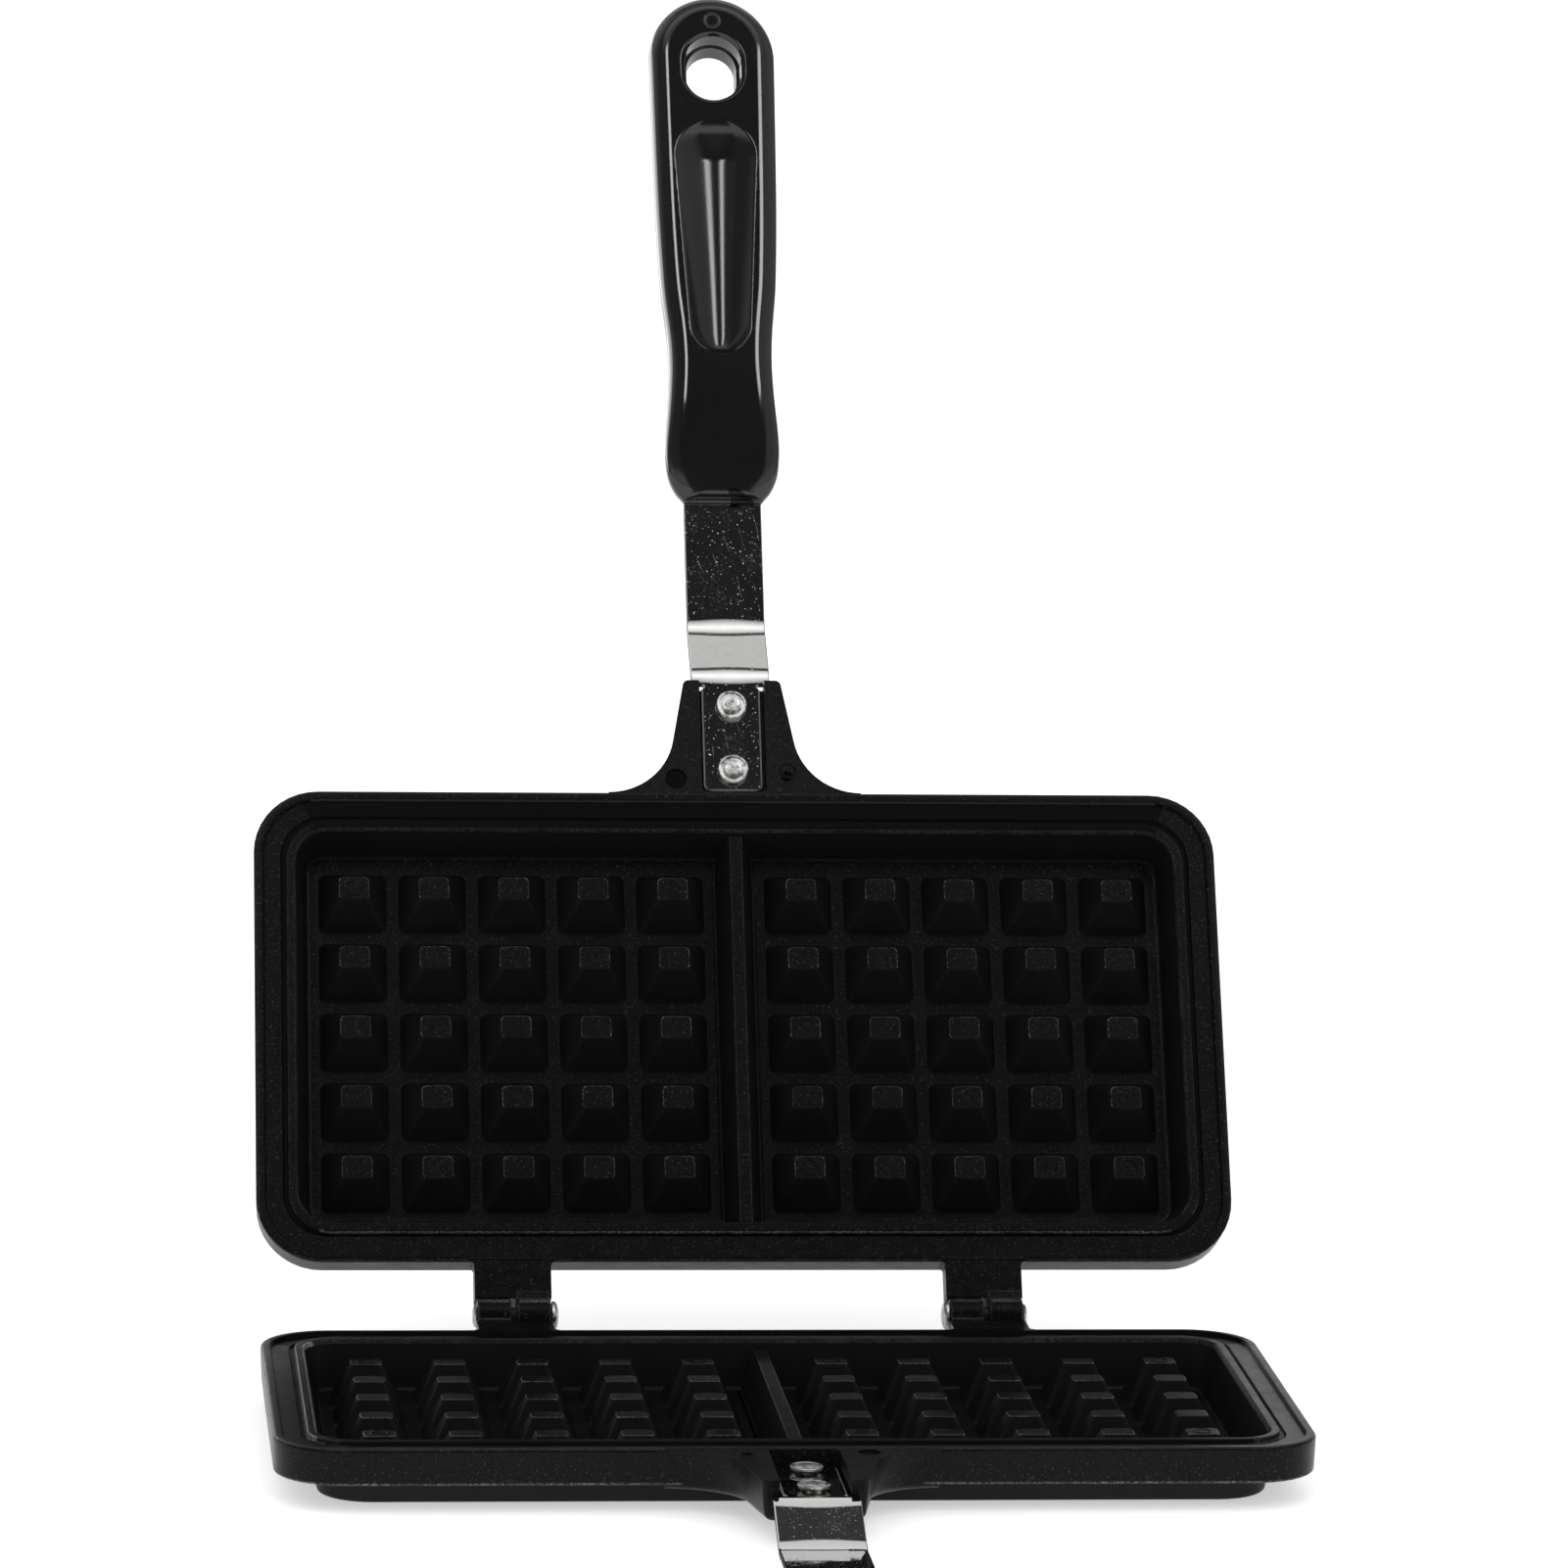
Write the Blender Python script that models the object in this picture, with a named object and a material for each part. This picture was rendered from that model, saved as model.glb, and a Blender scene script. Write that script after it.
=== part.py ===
"""Stovetop waffle iron, standing open.

Two halves hang on one hinge line. Each half is the same casting, turned over,
with a riveted steel strap and a moulded grip. Metres, +Z up. The origin lies on
the resting face of the lower casting, under the middle of its rim.
"""
import math

import bmesh
import bpy
from mathutils import Matrix, Vector

# Fits shared by all pieces
fit_gap = 0.0003
cut_overrun = 0.0040
weld_depth = 0.0020
round_steps = 16
corner_steps = 5

# Casting: outside
plate_width = 0.2310
plate_depth = 0.1180
corner_radius = 0.0155
half_thickness = 0.0146
rim_height = 0.0084
rim_draft = 0.0003
rim_edge_round = 0.0012
rim_foot_round = 0.0008
base_inset = 0.0100
base_inset_rear = 0.0026
base_corner_radius = 0.0120
base_edge_round = 0.0012

# Casting: sealing rim and cavity
bead_width = 0.0021
channel_depth = 0.0010
channel_slope = 0.0004
groove_width = 0.0014
groove_depth = 0.0017
lip_inset = 0.00775
lip_width = 0.0019
lip_round = 0.0004
lip_corner_radius = 0.0083
cavity_depth = 0.0115
cavity_draft = 0.0032
cavity_corner_radius = 0.0040

# Casting: studs and divider
studs_across = 5
studs_deep = 5
stud_pitch_across = 0.01904
stud_pitch_deep = 0.01750
stud_inner_column = 0.01542
stud_foot_across = 0.0160
stud_foot_deep = 0.0146
stud_top_across = 0.0075
stud_top_deep = 0.0066
stud_corner = 0.0010
stud_top_round = 0.0004
stud_drop = 0.0022
divider_top = 0.0030
divider_foot = 0.0086

# Casting: lug for the handle
lug_length = 0.0290
lug_end_half = 0.0116
lug_root_half = 0.0172
lug_thickness = 0.0097
lug_drop = 0.0002
lug_corner = 0.0022
lug_fillet = 0.0160
recess_width = 0.0157
recess_start = 0.0003
recess_corner = 0.0012

# Casting: hinge arms
hinge_reach = 0.0134
hinge_centre = 0.0555
arm_width = 0.0180
arm_thickness = 0.0066
arm_flare = 0.0022
knuckle_radius = 0.0039
knuckle_split = 0.0013
knuckle_side_gap = 0.0004
relief_gap = 0.0005
eye_start_angle = math.radians(60.0)
heel_start = 0.0020
heel_reach = 0.0064
foot_setback = 0.0018
foot_side_inset = 0.0016
foot_round = 0.0012
open_angle = math.radians(120.0)

# Handle strap
strap_width = 0.0190
tongue_width = 0.0141
strap_thickness = 0.0018
strap_top_drop = 0.0036
tongue_start = 0.0018
tongue_corner = 0.0015
strap_joggle = 0.0070
strap_bend_angle = math.radians(25.0)
strap_bend_radius = 0.0120
bend_steps = 5
strap_tail = 0.1180

# Handle grip, its places measured from the casting's front edge
grip_start = 0.0794
grip_length = 0.1351
grip_half_width = 0.0157
grip_thickness = 0.0127
grip_face_drop = 0.0015
grip_bevel_across = 0.0042
grip_bevel_down = 0.0036
grip_side_height = 0.0024
grip_back_inset = 0.0052
grip_outline_shares = (
    (0.000, 0.610), (0.008, 0.668), (0.018, 0.743), (0.037, 0.828), (0.057, 0.874), (0.095, 0.898),
    (0.134, 0.883), (0.172, 0.855), (0.211, 0.831), (0.250, 0.818), (0.290, 0.823), (0.328, 0.843),
    (0.367, 0.877), (0.406, 0.909), (0.445, 0.928), (0.523, 0.954), (0.602, 0.971), (0.760, 0.990),
    (0.875, 1.000))
grip_end_steps = 10
nose_length = 0.0355
nose_drop = 0.0053
front_bevel_share = 0.50
front_back_share = 0.70
front_blend_share = 0.12
hang_hole_setback = 0.0208
hang_hole_width = 0.0140
hang_hole_length = 0.0178
hang_hole_bevel = 0.0011
hang_hole_waist = 0.0004
scoop_start_offset = 0.0372
scoop_end_setback = 0.0351
scoop_start_radius = 0.0070
scoop_end_radius = 0.0096
scoop_depth = 0.0038
scoop_levels = 5

# Fasteners
rivet_head_radius = 0.0037
rivet_head_height = 0.0014
rivet_shank_radius = 0.0020
rivet_tail_radius = 0.0031
rivet_tail_height = 0.0009
rivet_places = (0.0069, 0.0235)
pin_radius = 0.0020
pin_head_radius = 0.0034
pin_head_height = 0.0016
pin_tail_radius = 0.0027
pin_tail_height = 0.0008
dome_share = 0.55
dome_steps = 2
screw_setback = 0.0150
screw_head_radius = 0.0032
screw_head_height = 0.0014
screw_shank_radius = 0.0017
screw_length = 0.0080
screw_slot_width = 0.0009
screw_slot_depth = 0.0007


def clear_scene():
    for old in list(bpy.data.objects):
        bpy.data.objects.remove(old, do_unlink=True)


def material(name, colour, roughness, metallic):
    made = bpy.data.materials.new(name)
    made.use_nodes = True
    surface = made.node_tree.nodes["Principled BSDF"]
    surface.inputs["Base Color"].default_value = (*colour, 1.0)
    surface.inputs["Roughness"].default_value = roughness
    surface.inputs["Metallic"].default_value = metallic
    return made


def frame(name, matrix):
    empty = bpy.data.objects.new(name, None)
    bpy.context.collection.objects.link(empty)
    empty.matrix_world = matrix
    return empty


def place(name, mesh, parent, finish):
    piece = bpy.data.objects.new(name, mesh)
    bpy.context.collection.objects.link(piece)
    piece.parent = parent
    if finish is not None:
        mesh.materials.append(finish)
    return piece


def mesh_from_rings(name, rings, start_in_strips=False):
    """One closed body: matching rings joined side by side, the end rings filled."""
    body = bmesh.new()
    loops = [[body.verts.new(point) for point in ring] for ring in rings]
    count = len(loops[0])
    for low, high in zip(loops, loops[1:]):
        for i in range(count):
            j = (i + 1) % count
            body.faces.new((low[i], low[j], high[j], high[i]))
    if start_in_strips:
        first = loops[0]
        middle = count // 2
        for i in range(middle - 1):
            body.faces.new((first[i], first[i + 1], first[-i - 2], first[-i - 1]))
        body.faces.new(first[middle - 1:middle + 2])
    else:
        body.faces.new(loops[0])
    body.faces.new(loops[-1])
    bmesh.ops.recalc_face_normals(body, faces=body.faces)
    mesh = bpy.data.meshes.new(name)
    body.to_mesh(mesh)
    body.free()
    return mesh


def join_meshes(name, meshes):
    body = bmesh.new()
    for mesh in meshes:
        body.from_mesh(mesh)
    joined = bpy.data.meshes.new(name)
    body.to_mesh(joined)
    body.free()
    return joined


def smooth(mesh, angle=math.radians(35.0)):
    mesh.shade_smooth()
    mesh.set_sharp_from_angle(angle=angle)
    return mesh


def combine(target, mesh, operation):
    """Add or cut a hidden tool body, kept in the target's own frame."""
    tool = place(target.name + "_" + mesh.name, mesh, target.parent, None)
    tool.hide_render = True
    tool.display_type = "WIRE"
    tool.hide_set(True)
    step = target.modifiers.new(mesh.name, "BOOLEAN")
    step.operation = operation
    step.solver = "EXACT"
    step.object = tool


def arc(centre, radius, start, end, steps):
    """Points on an arc in a plane, both ends included."""
    angles = [start + (end - start) * i / steps for i in range(steps + 1)]
    return [(centre[0] + radius * math.cos(a), centre[1] + radius * math.sin(a)) for a in angles]


def rounded_box(left, right, back, front, radius, steps=corner_steps):
    """Outline with round corners, counter-clockwise, in x and forward distance v."""
    quarter = math.pi / 2
    points = arc((right - radius, front - radius), radius, 0, quarter, steps)
    points += arc((left + radius, front - radius), radius, quarter, 2 * quarter, steps)
    points += arc((left + radius, back + radius), radius, 2 * quarter, 3 * quarter, steps)
    points += arc((right - radius, back + radius), radius, 3 * quarter, 4 * quarter, steps)
    return points


def level(outline, height):
    """Raise an outline in x and v to a height in the half's own frame."""
    return [Vector((x, -(v + hinge_reach), height)) for x, v in outline]


def prism(name, outline, low, high):
    return mesh_from_rings(name, [level(outline, low), level(outline, high)])


def bar(name, profile, left, right):
    """A side profile in v and height, drawn across from left to right."""
    def side(x):
        return [Vector((x, -(v + hinge_reach), height)) for v, height in profile]
    return mesh_from_rings(name, [side(left), side(right)])


def turned(name, profile, centre, axis):
    """A round piece: rings of (along, radius) on an axis through a centre."""
    turn = axis.to_track_quat("Z", "Y").to_matrix()
    rings = []
    for along, radius in profile:
        angles = [2 * math.pi * i / round_steps for i in range(round_steps)]
        rings.append([centre + turn @ Vector((radius * math.cos(a), radius * math.sin(a), along))
                      for a in angles])
    return smooth(mesh_from_rings(name, rings))


def dome(start, radius, height):
    """Rings of a low dome that rises along the axis from its rim at start."""
    rim = height * (1 - dome_share)
    rings = [(start, radius), (start + rim, radius)]
    for i in range(1, dome_steps + 1):
        turn = (math.pi / 2) * i / (dome_steps + 1)
        rings.append((start + rim + (height - rim) * math.sin(turn), radius * math.cos(turn)))
    return rings


# Levels with the iron shut and the parting plane at zero, and places along the handle
plate_top = -fit_gap / 2
cavity_floor = -cavity_depth
stud_top = -stud_drop
lug_top = plate_top - lug_drop
strap_top = -strap_top_drop
strap_bottom = strap_top - strap_thickness
recess_floor = strap_bottom - fit_gap
grip_face = -grip_face_drop
grip_back = grip_face - grip_thickness
tail_top = strap_top - strap_joggle
tail_bottom = tail_top - strap_thickness
relief_reach = knuckle_radius + relief_gap
grip_end = grip_start + grip_length
screw_place = strap_tail - screw_setback
root_inset = bead_width / 2


def rim_outline(inset, radius, rear_inset=None):
    rear = inset if rear_inset is None else rear_inset
    half = plate_width / 2 - inset
    return rounded_box(-half, half, rear, plate_depth - inset, radius)


def casting_blank():
    """The plate as a tray: foot, ledge, drafted rim, bead, channel, lip and cavity."""
    lip_inner = lip_inset + lip_width
    rings = []

    def base(extra, height):
        rings.append(level(rim_outline(base_inset + extra, base_corner_radius - extra,
                                       base_inset_rear + extra), height))

    def rim(inset, height, radius=None):
        rings.append(level(rim_outline(inset, corner_radius - inset if radius is None else radius), height))

    for turn in (1.0, 0.5, 0.0):
        angle = turn * math.pi / 2
        base(base_edge_round * (1 - math.cos(angle)), -half_thickness + base_edge_round * (1 - math.sin(angle)))
    base(0.0, -rim_height)
    rim(rim_draft + rim_foot_round, -rim_height)
    rim(rim_draft, -rim_height + rim_foot_round)
    for turn in (0.0, 0.5, 1.0):
        angle = turn * math.pi / 2
        rim(rim_edge_round * (1 - math.cos(angle)), plate_top - rim_edge_round * (1 - math.sin(angle)))
    rim(bead_width, plate_top)
    rim(bead_width + channel_slope, -channel_depth)
    rim(lip_inset - groove_width, -channel_depth)
    rim(lip_inset - groove_width + channel_slope, -groove_depth, lip_corner_radius + lip_width)
    rim(lip_inset, -groove_depth, lip_corner_radius + lip_width)
    rim(lip_inset, plate_top - lip_round, lip_corner_radius + lip_width)
    rim(lip_inset + lip_round, plate_top, lip_corner_radius + lip_width - lip_round)
    rim(lip_inner - lip_round, plate_top, lip_corner_radius + lip_round)
    rim(lip_inner, plate_top - lip_round, lip_corner_radius)
    rim(lip_inner + cavity_draft, cavity_floor, cavity_corner_radius)
    return mesh_from_rings("blank", rings)


def studs():
    """Two fields of truncated pyramids on the cavity floor."""
    def outline(x, v, across, deep, corner):
        return rounded_box(x - across / 2, x + across / 2, v - deep / 2, v + deep / 2, corner, 1)

    low = cavity_floor - weld_depth / 2
    grow = (cavity_floor - low) / (stud_top - cavity_floor)
    low_across = stud_foot_across + (stud_foot_across - stud_top_across) * grow
    low_deep = stud_foot_deep + (stud_foot_deep - stud_top_deep) * grow
    bodies = []
    for side in (-1, 1):
        for column in range(studs_across):
            x = side * (stud_inner_column + stud_pitch_across * column)
            for row in range(studs_deep):
                v = plate_depth / 2 + stud_pitch_deep * (row - (studs_deep - 1) / 2)
                rings = [level(outline(x, v, low_across, low_deep, stud_corner), low),
                         level(outline(x, v, stud_top_across, stud_top_deep, stud_corner),
                               stud_top - stud_top_round),
                         level(outline(x, v, stud_top_across - 2 * stud_top_round,
                                       stud_top_deep - 2 * stud_top_round, stud_corner), stud_top)]
                bodies.append(mesh_from_rings("stud", rings))
    return join_meshes("studs", bodies)


def divider():
    """The low wall between the two waffle fields, let into the front and rear walls."""
    end = lip_inset + lip_width / 2
    low = cavity_floor - weld_depth / 2
    grow = (divider_foot - divider_top) / 2 * (cavity_floor - low) / (stud_top - cavity_floor)

    def section(v):
        return [Vector((x, -(v + hinge_reach), height)) for x, height in (
            (-divider_foot / 2 - grow, low), (divider_foot / 2 + grow, low),
            (divider_top / 2, stud_top), (-divider_top / 2, stud_top))]
    return mesh_from_rings("divider", [section(end), section(plate_depth - end)])


def lug_outline():
    """Tapered tab with round end corners and large fillets into the plate's edge."""
    front = plate_depth
    slope = math.atan2(lug_root_half - lug_end_half, lug_length)
    tangent = lug_fillet * math.tan((math.pi / 2 - slope) / 2)
    right = [(lug_root_half + tangent, front - root_inset)]
    right += arc((lug_root_half + tangent, front + lug_fillet), lug_fillet,
                 -math.pi / 2, -math.pi + slope, corner_steps)
    tip = (lug_end_half - lug_corner, front + lug_length - lug_corner)
    right += arc(tip, lug_corner, slope, math.pi / 2, corner_steps // 2)
    return right + [(-x, v) for x, v in reversed(right)]


def recess_outline():
    half = recess_width / 2
    back = plate_depth + recess_start
    front = plate_depth + lug_length + cut_overrun
    left = arc((-half + recess_corner, back + recess_corner), recess_corner,
               math.pi, 1.5 * math.pi, corner_steps // 2)
    return [(half, front), (-half, front)] + left + [(-x, v) for x, v in reversed(left)]


def knuckle_ranges():
    """Left and right edges of this half's knuckles, from the left hinge to the right."""
    outer = hinge_centre + arm_width / 2 - knuckle_side_gap
    inner = hinge_centre - arm_width / 2 + knuckle_side_gap
    middle = knuckle_split / 2
    return ((-outer, -hinge_centre - middle), (inner, hinge_centre - middle))


def arm_block(side):
    """A full-width arm from the rim's bead to the relief, flared at its root."""
    inner = side * hinge_centre - arm_width / 2
    outer = side * hinge_centre + arm_width / 2
    root = root_inset
    tip = -hinge_reach + relief_reach
    outline = [(inner - arm_flare, root), (inner - arm_flare, -rim_edge_round / 2)]
    outline += arc((inner - arm_flare, -rim_edge_round / 2 - arm_flare), arm_flare,
                   math.pi / 2, 0, corner_steps // 2)[1:]
    outline += [(inner, tip), (outer, tip)]
    outline += arc((outer + arm_flare, -rim_edge_round / 2 - arm_flare), arm_flare,
                   math.pi, math.pi / 2, corner_steps // 2)[:-1]
    outline += [(outer + arm_flare, -rim_edge_round / 2), (outer + arm_flare, root)]
    return prism("arm", outline, -arm_thickness, lug_top)


def arm_foot(side):
    """A rib under an arm, down to the base's level, on which the open iron rests behind."""
    root = base_inset_rear + base_edge_round + weld_depth
    rear = -hinge_reach + relief_reach + foot_setback
    high = -arm_thickness + weld_depth
    profile = [(root, high), (root, -half_thickness)]
    profile += arc((rear + foot_round, -half_thickness + foot_round), foot_round,
                   -math.pi / 2, -math.pi, corner_steps // 2)
    profile += [(rear, high)]
    middle = side * hinge_centre
    half_wide = arm_width / 2 - foot_side_inset
    return bar("foot", profile, middle - half_wide, middle + half_wide)


def heel_profile():
    """Side profile of one knuckle: neck to the arm, round eye and the stop heel behind it."""
    neck = -relief_reach - weld_depth
    stop = relief_reach - fit_gap
    away = Vector((-math.cos(open_angle), math.sin(open_angle)))
    down = Vector((math.sin(open_angle), math.cos(open_angle)))
    near = away * stop + down * heel_start
    far = away * stop + down * heel_reach
    points = [(neck, lug_top), (neck, -arm_thickness), (-relief_reach, -arm_thickness)]
    points += [(0.0, -knuckle_radius), (far.x - heel_start, -knuckle_radius)]
    points += [(far.x, far.y - heel_start), (far.x, far.y), (near.x, near.y)]
    points += arc((0.0, 0.0), knuckle_radius, eye_start_angle, math.pi, 2 * corner_steps)
    return [(-y - hinge_reach, height) for y, height in points]


def cross_cylinder(name, left, right, radius):
    return turned(name, [(left, radius), (right, radius)], Vector((0, 0, 0)), Vector((1, 0, 0)))


def casting(name, parent, finish):
    plate = place(name, casting_blank(), parent, finish)
    combine(plate, studs(), "UNION")
    combine(plate, divider(), "UNION")
    combine(plate, prism("lug", lug_outline(), -lug_thickness, lug_top), "UNION")
    combine(plate, join_meshes("arms", [arm_block(-1), arm_block(1)]), "UNION")
    combine(plate, join_meshes("feet", [arm_foot(-1), arm_foot(1)]), "UNION")
    eyes = [bar("eye", heel_profile(), left, right) for left, right in knuckle_ranges()]
    combine(plate, join_meshes("eyes", eyes), "UNION")
    reach = hinge_centre + arm_width
    combine(plate, cross_cylinder("pin_hole", -reach, reach, pin_radius + fit_gap), "DIFFERENCE")
    combine(plate, prism("recess", recess_outline(), recess_floor, cut_overrun), "DIFFERENCE")
    holes = [turned("hole", [(-lug_thickness - cut_overrun, rivet_shank_radius + fit_gap),
                             (0.0, rivet_shank_radius + fit_gap)],
                    handle_point(place_along), Vector((0, 0, 1))) for place_along in rivet_places]
    combine(plate, join_meshes("rivet_holes", holes), "DIFFERENCE")
    return plate


def handle_point(along, height=0.0):
    """A point on the handle's centre line, measured from the casting's front edge."""
    return Vector((0.0, -(plate_depth + along + hinge_reach), height))


def strap_line():
    """Top line of the strap, in distance from the casting's front edge and height."""
    start = lug_length + 2 * fit_gap
    turn = strap_bend_angle
    sunk = 2 * strap_bend_radius * (1 - math.cos(turn))
    run = (strap_joggle - sunk) / math.sin(turn)
    points = [(tongue_start, strap_top)]
    low = strap_top - strap_bend_radius
    for i in range(bend_steps + 1):
        a = turn * i / bend_steps
        points.append((start + strap_bend_radius * math.sin(a), low + strap_bend_radius * math.cos(a)))
    across = start + 2 * strap_bend_radius * math.sin(turn) + run * math.cos(turn)
    high = tail_top + strap_bend_radius
    for i in range(bend_steps + 1):
        a = turn * (1 - i / bend_steps)
        points.append((across - strap_bend_radius * math.sin(a), high - strap_bend_radius * math.cos(a)))
    points.append((strap_tail, tail_top))
    return points


def strap_profile():
    """Closed side profile: the top line and the same line one thickness below."""
    top = [Vector(point) for point in strap_line()]
    under = []
    for i, point in enumerate(top):
        before = top[max(i - 1, 0)]
        after = top[min(i + 1, len(top) - 1)]
        along = (after - before).normalized()
        under.append(point + Vector((along.y, -along.x)) * strap_thickness)
    return [(plate_depth + v, height) for v, height in [tuple(p) for p in top + under[::-1]]]


def tongue_cut():
    """What is cut away beside the narrow tongue, with its two round end corners."""
    half = tongue_width / 2
    wide = strap_width / 2 + cut_overrun
    back = plate_depth + tongue_start
    shoulder = plate_depth + lug_length + fit_gap
    right = [(wide, back - cut_overrun), (wide, shoulder), (half, shoulder)]
    right += arc((half - tongue_corner, back + tongue_corner), tongue_corner, 0, -math.pi / 2,
                 corner_steps // 2)
    right += [(half - tongue_corner - fit_gap, back - cut_overrun)]
    left = [(-x, v) for x, v in reversed(right)]
    low = strap_bottom - cut_overrun / 2
    high = strap_top + cut_overrun
    return join_meshes("tongue_cut", [prism("right", right, low, high), prism("left", left, low, high)])


def strap(name, parent, finish):
    half = strap_width / 2
    made = place(name, bar(name, strap_profile(), -half, half), parent, finish)
    combine(made, tongue_cut(), "DIFFERENCE")
    holes = [turned("hole", [(recess_floor, rivet_shank_radius + fit_gap),
                             (0.0, rivet_shank_radius + fit_gap)],
                    handle_point(along), Vector((0, 0, 1))) for along in rivet_places]
    holes.append(turned("hole", [(tail_bottom - cut_overrun, screw_shank_radius + fit_gap),
                                 (tail_top + cut_overrun, screw_shank_radius + fit_gap)],
                        handle_point(screw_place), Vector((0, 0, 1))))
    combine(made, join_meshes("strap_holes", holes), "DIFFERENCE")
    return made


def grip_outline():
    """Plan outline of the grip: waisted sides, square front and a round free end."""
    sides = [(along * grip_length, half * grip_half_width) for along, half in grip_outline_shares]
    last = sides[-1][0]
    end = grip_length - last
    for i in range(1, grip_end_steps):
        turn = math.pi / 2 * i / grip_end_steps
        sides.append((last + end * math.sin(turn), grip_half_width * math.cos(turn)))
    right = [(half, along) for along, half in sides]
    return right + [(0.0, grip_length)] + [(-half, along) for half, along in reversed(right)]


def inset_outline(outline, inset, front_share):
    """Move each point inwards: straight across at the nose, along its normal behind it."""
    moved = []
    count = len(outline)
    nose = front_blend_share * grip_length
    front = inset * front_share
    for i, (x, v) in enumerate(outline):
        if v < nose:
            moved.append((x - math.copysign(inset, x), front + v * (nose - front) / nose))
        else:
            before = Vector(outline[i - 1])
            after = Vector(outline[(i + 1) % count])
            along = (after - before).normalized()
            moved.append((x - along.y * inset, v + along.x * inset))
    return moved


def grip_level(outline, height):
    """Lay an outline at a height below the face. Towards the nose all sinks to the back."""
    points = []
    for x, v in outline:
        drop = nose_drop * max(0.0, 1 - v / nose_length) ** 2
        low = height * (1 - drop / grip_thickness) - drop
        points.append(Vector((x, -(plate_depth + grip_start + v + hinge_reach), grip_face + low)))
    return points


def grip_body(name):
    """Face that falls off to the nose, bevelled edge, short side wall and a rounded back."""
    outline = grip_outline()
    rings = [grip_level(inset_outline(outline, grip_bevel_across, front_bevel_share), 0.0)]
    side_top = -grip_bevel_down
    rings.append(grip_level(outline, side_top))
    back_start = side_top - grip_side_height
    back_height = back_start + grip_thickness
    for i in range(corner_steps):
        turn = math.pi / 2 * i / (corner_steps - 1)
        inset = grip_back_inset * (1 - math.cos(turn))
        rings.append(grip_level(inset_outline(outline, inset, front_back_share),
                                back_start - back_height * math.sin(turn)))
    return smooth(mesh_from_rings(name, rings, True))


def oval(width, length, centre, grow=0.0):
    radius = width / 2 + grow
    half = (length - width) / 2
    points = arc((0.0, centre + half), radius, 0, math.pi, 2 * corner_steps)
    return points + arc((0.0, centre - half), radius, math.pi, 2 * math.pi, 2 * corner_steps)


def hang_hole_cut():
    """Oval hole with bevelled mouths and a slight waist at mid thickness."""
    centre = plate_depth + grip_end - hang_hole_setback

    def ring(height, grow):
        return level(oval(hang_hole_width, hang_hole_length, centre, grow), height)
    middle = (grip_face + grip_back) / 2
    return mesh_from_rings("hang_hole", [
        ring(grip_face + hang_hole_bevel, 2 * hang_hole_bevel), ring(grip_face - hang_hole_bevel, 0.0),
        ring(middle, -hang_hole_waist), ring(grip_back + hang_hole_bevel, 0.0),
        ring(grip_back - hang_hole_bevel, 2 * hang_hole_bevel)])


def scoop_outline(inset):
    """Tapered oval: a small round start and a larger round end, joined by tangents."""
    small = scoop_start_radius
    large = scoop_end_radius
    low = plate_depth + grip_start + scoop_start_offset + small
    high = plate_depth + grip_end - scoop_end_setback - large
    lean = math.asin((large - small) / (high - low))
    points = arc((0.0, high), large - inset, -lean, math.pi + lean, 2 * corner_steps)
    return points + arc((0.0, low), small - inset, math.pi + lean, 2 * math.pi - lean, 2 * corner_steps)


def scoop_cut():
    """A hollow with a dished floor in the grip's flat face."""
    rings = [level(scoop_outline(0.0), grip_face + cut_overrun)]
    reach = scoop_start_radius * (1 - 1 / (2 * scoop_levels))
    for i in range(scoop_levels + 1):
        turn = math.pi / 2 * i / scoop_levels
        rings.append(level(scoop_outline(reach * (1 - math.cos(turn))), grip_face - scoop_depth * math.sin(turn)))
    return mesh_from_rings("scoop", rings)


def grip(name, parent, finish):
    made = place(name, grip_body(name), parent, finish)
    slot = rounded_box(-strap_width / 2 - fit_gap, strap_width / 2 + fit_gap,
                       plate_depth + grip_start - cut_overrun, plate_depth + strap_tail + fit_gap,
                       fit_gap, 1)
    combine(made, prism("slot", slot, tail_bottom - fit_gap, tail_top + fit_gap), "DIFFERENCE")
    combine(made, hang_hole_cut(), "DIFFERENCE")
    combine(made, scoop_cut(), "DIFFERENCE")
    head_top = tail_bottom - fit_gap
    well = [(head_top - half_thickness, screw_head_radius + fit_gap),
            (tail_bottom, screw_head_radius + fit_gap),
            (tail_bottom, screw_shank_radius + fit_gap),
            (head_top + screw_length + fit_gap, screw_shank_radius + fit_gap)]
    combine(made, turned("screw_hole", well, handle_point(screw_place), Vector((0, 0, 1))), "DIFFERENCE")
    return made


def rivet(name, parent, finish, along):
    """Domed head on the strap, shank through strap and lug, set tail under the lug."""
    head = strap_top + fit_gap
    tail = -lug_thickness - fit_gap
    profile = [(tail - rivet_tail_height, rivet_tail_radius * dome_share),
               (tail - rivet_tail_height / 2, rivet_tail_radius), (tail, rivet_tail_radius),
               (tail, rivet_shank_radius), (head, rivet_shank_radius)]
    profile += dome(head, rivet_head_radius, rivet_head_height)
    return place(name, turned(name, profile, handle_point(along), Vector((0, 0, 1))), parent, finish)


def hinge_pin(name, parent, finish, side):
    """Domed head at the inner side, straight shank and a set tail at the outer side."""
    outer = hinge_centre + arm_width / 2 - knuckle_side_gap + fit_gap
    inner = hinge_centre - arm_width / 2 + knuckle_side_gap - fit_gap
    profile = [(-outer - pin_tail_height, pin_tail_radius * dome_share),
               (-outer - pin_tail_height / 2, pin_tail_radius), (-outer, pin_tail_radius),
               (-outer, pin_radius), (-inner, pin_radius)]
    profile += dome(-inner, pin_head_radius, pin_head_height)
    mesh = turned(name, profile, Vector((0, 0, 0)), Vector((-side, 0, 0)))
    return place(name, mesh, parent, finish)


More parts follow.
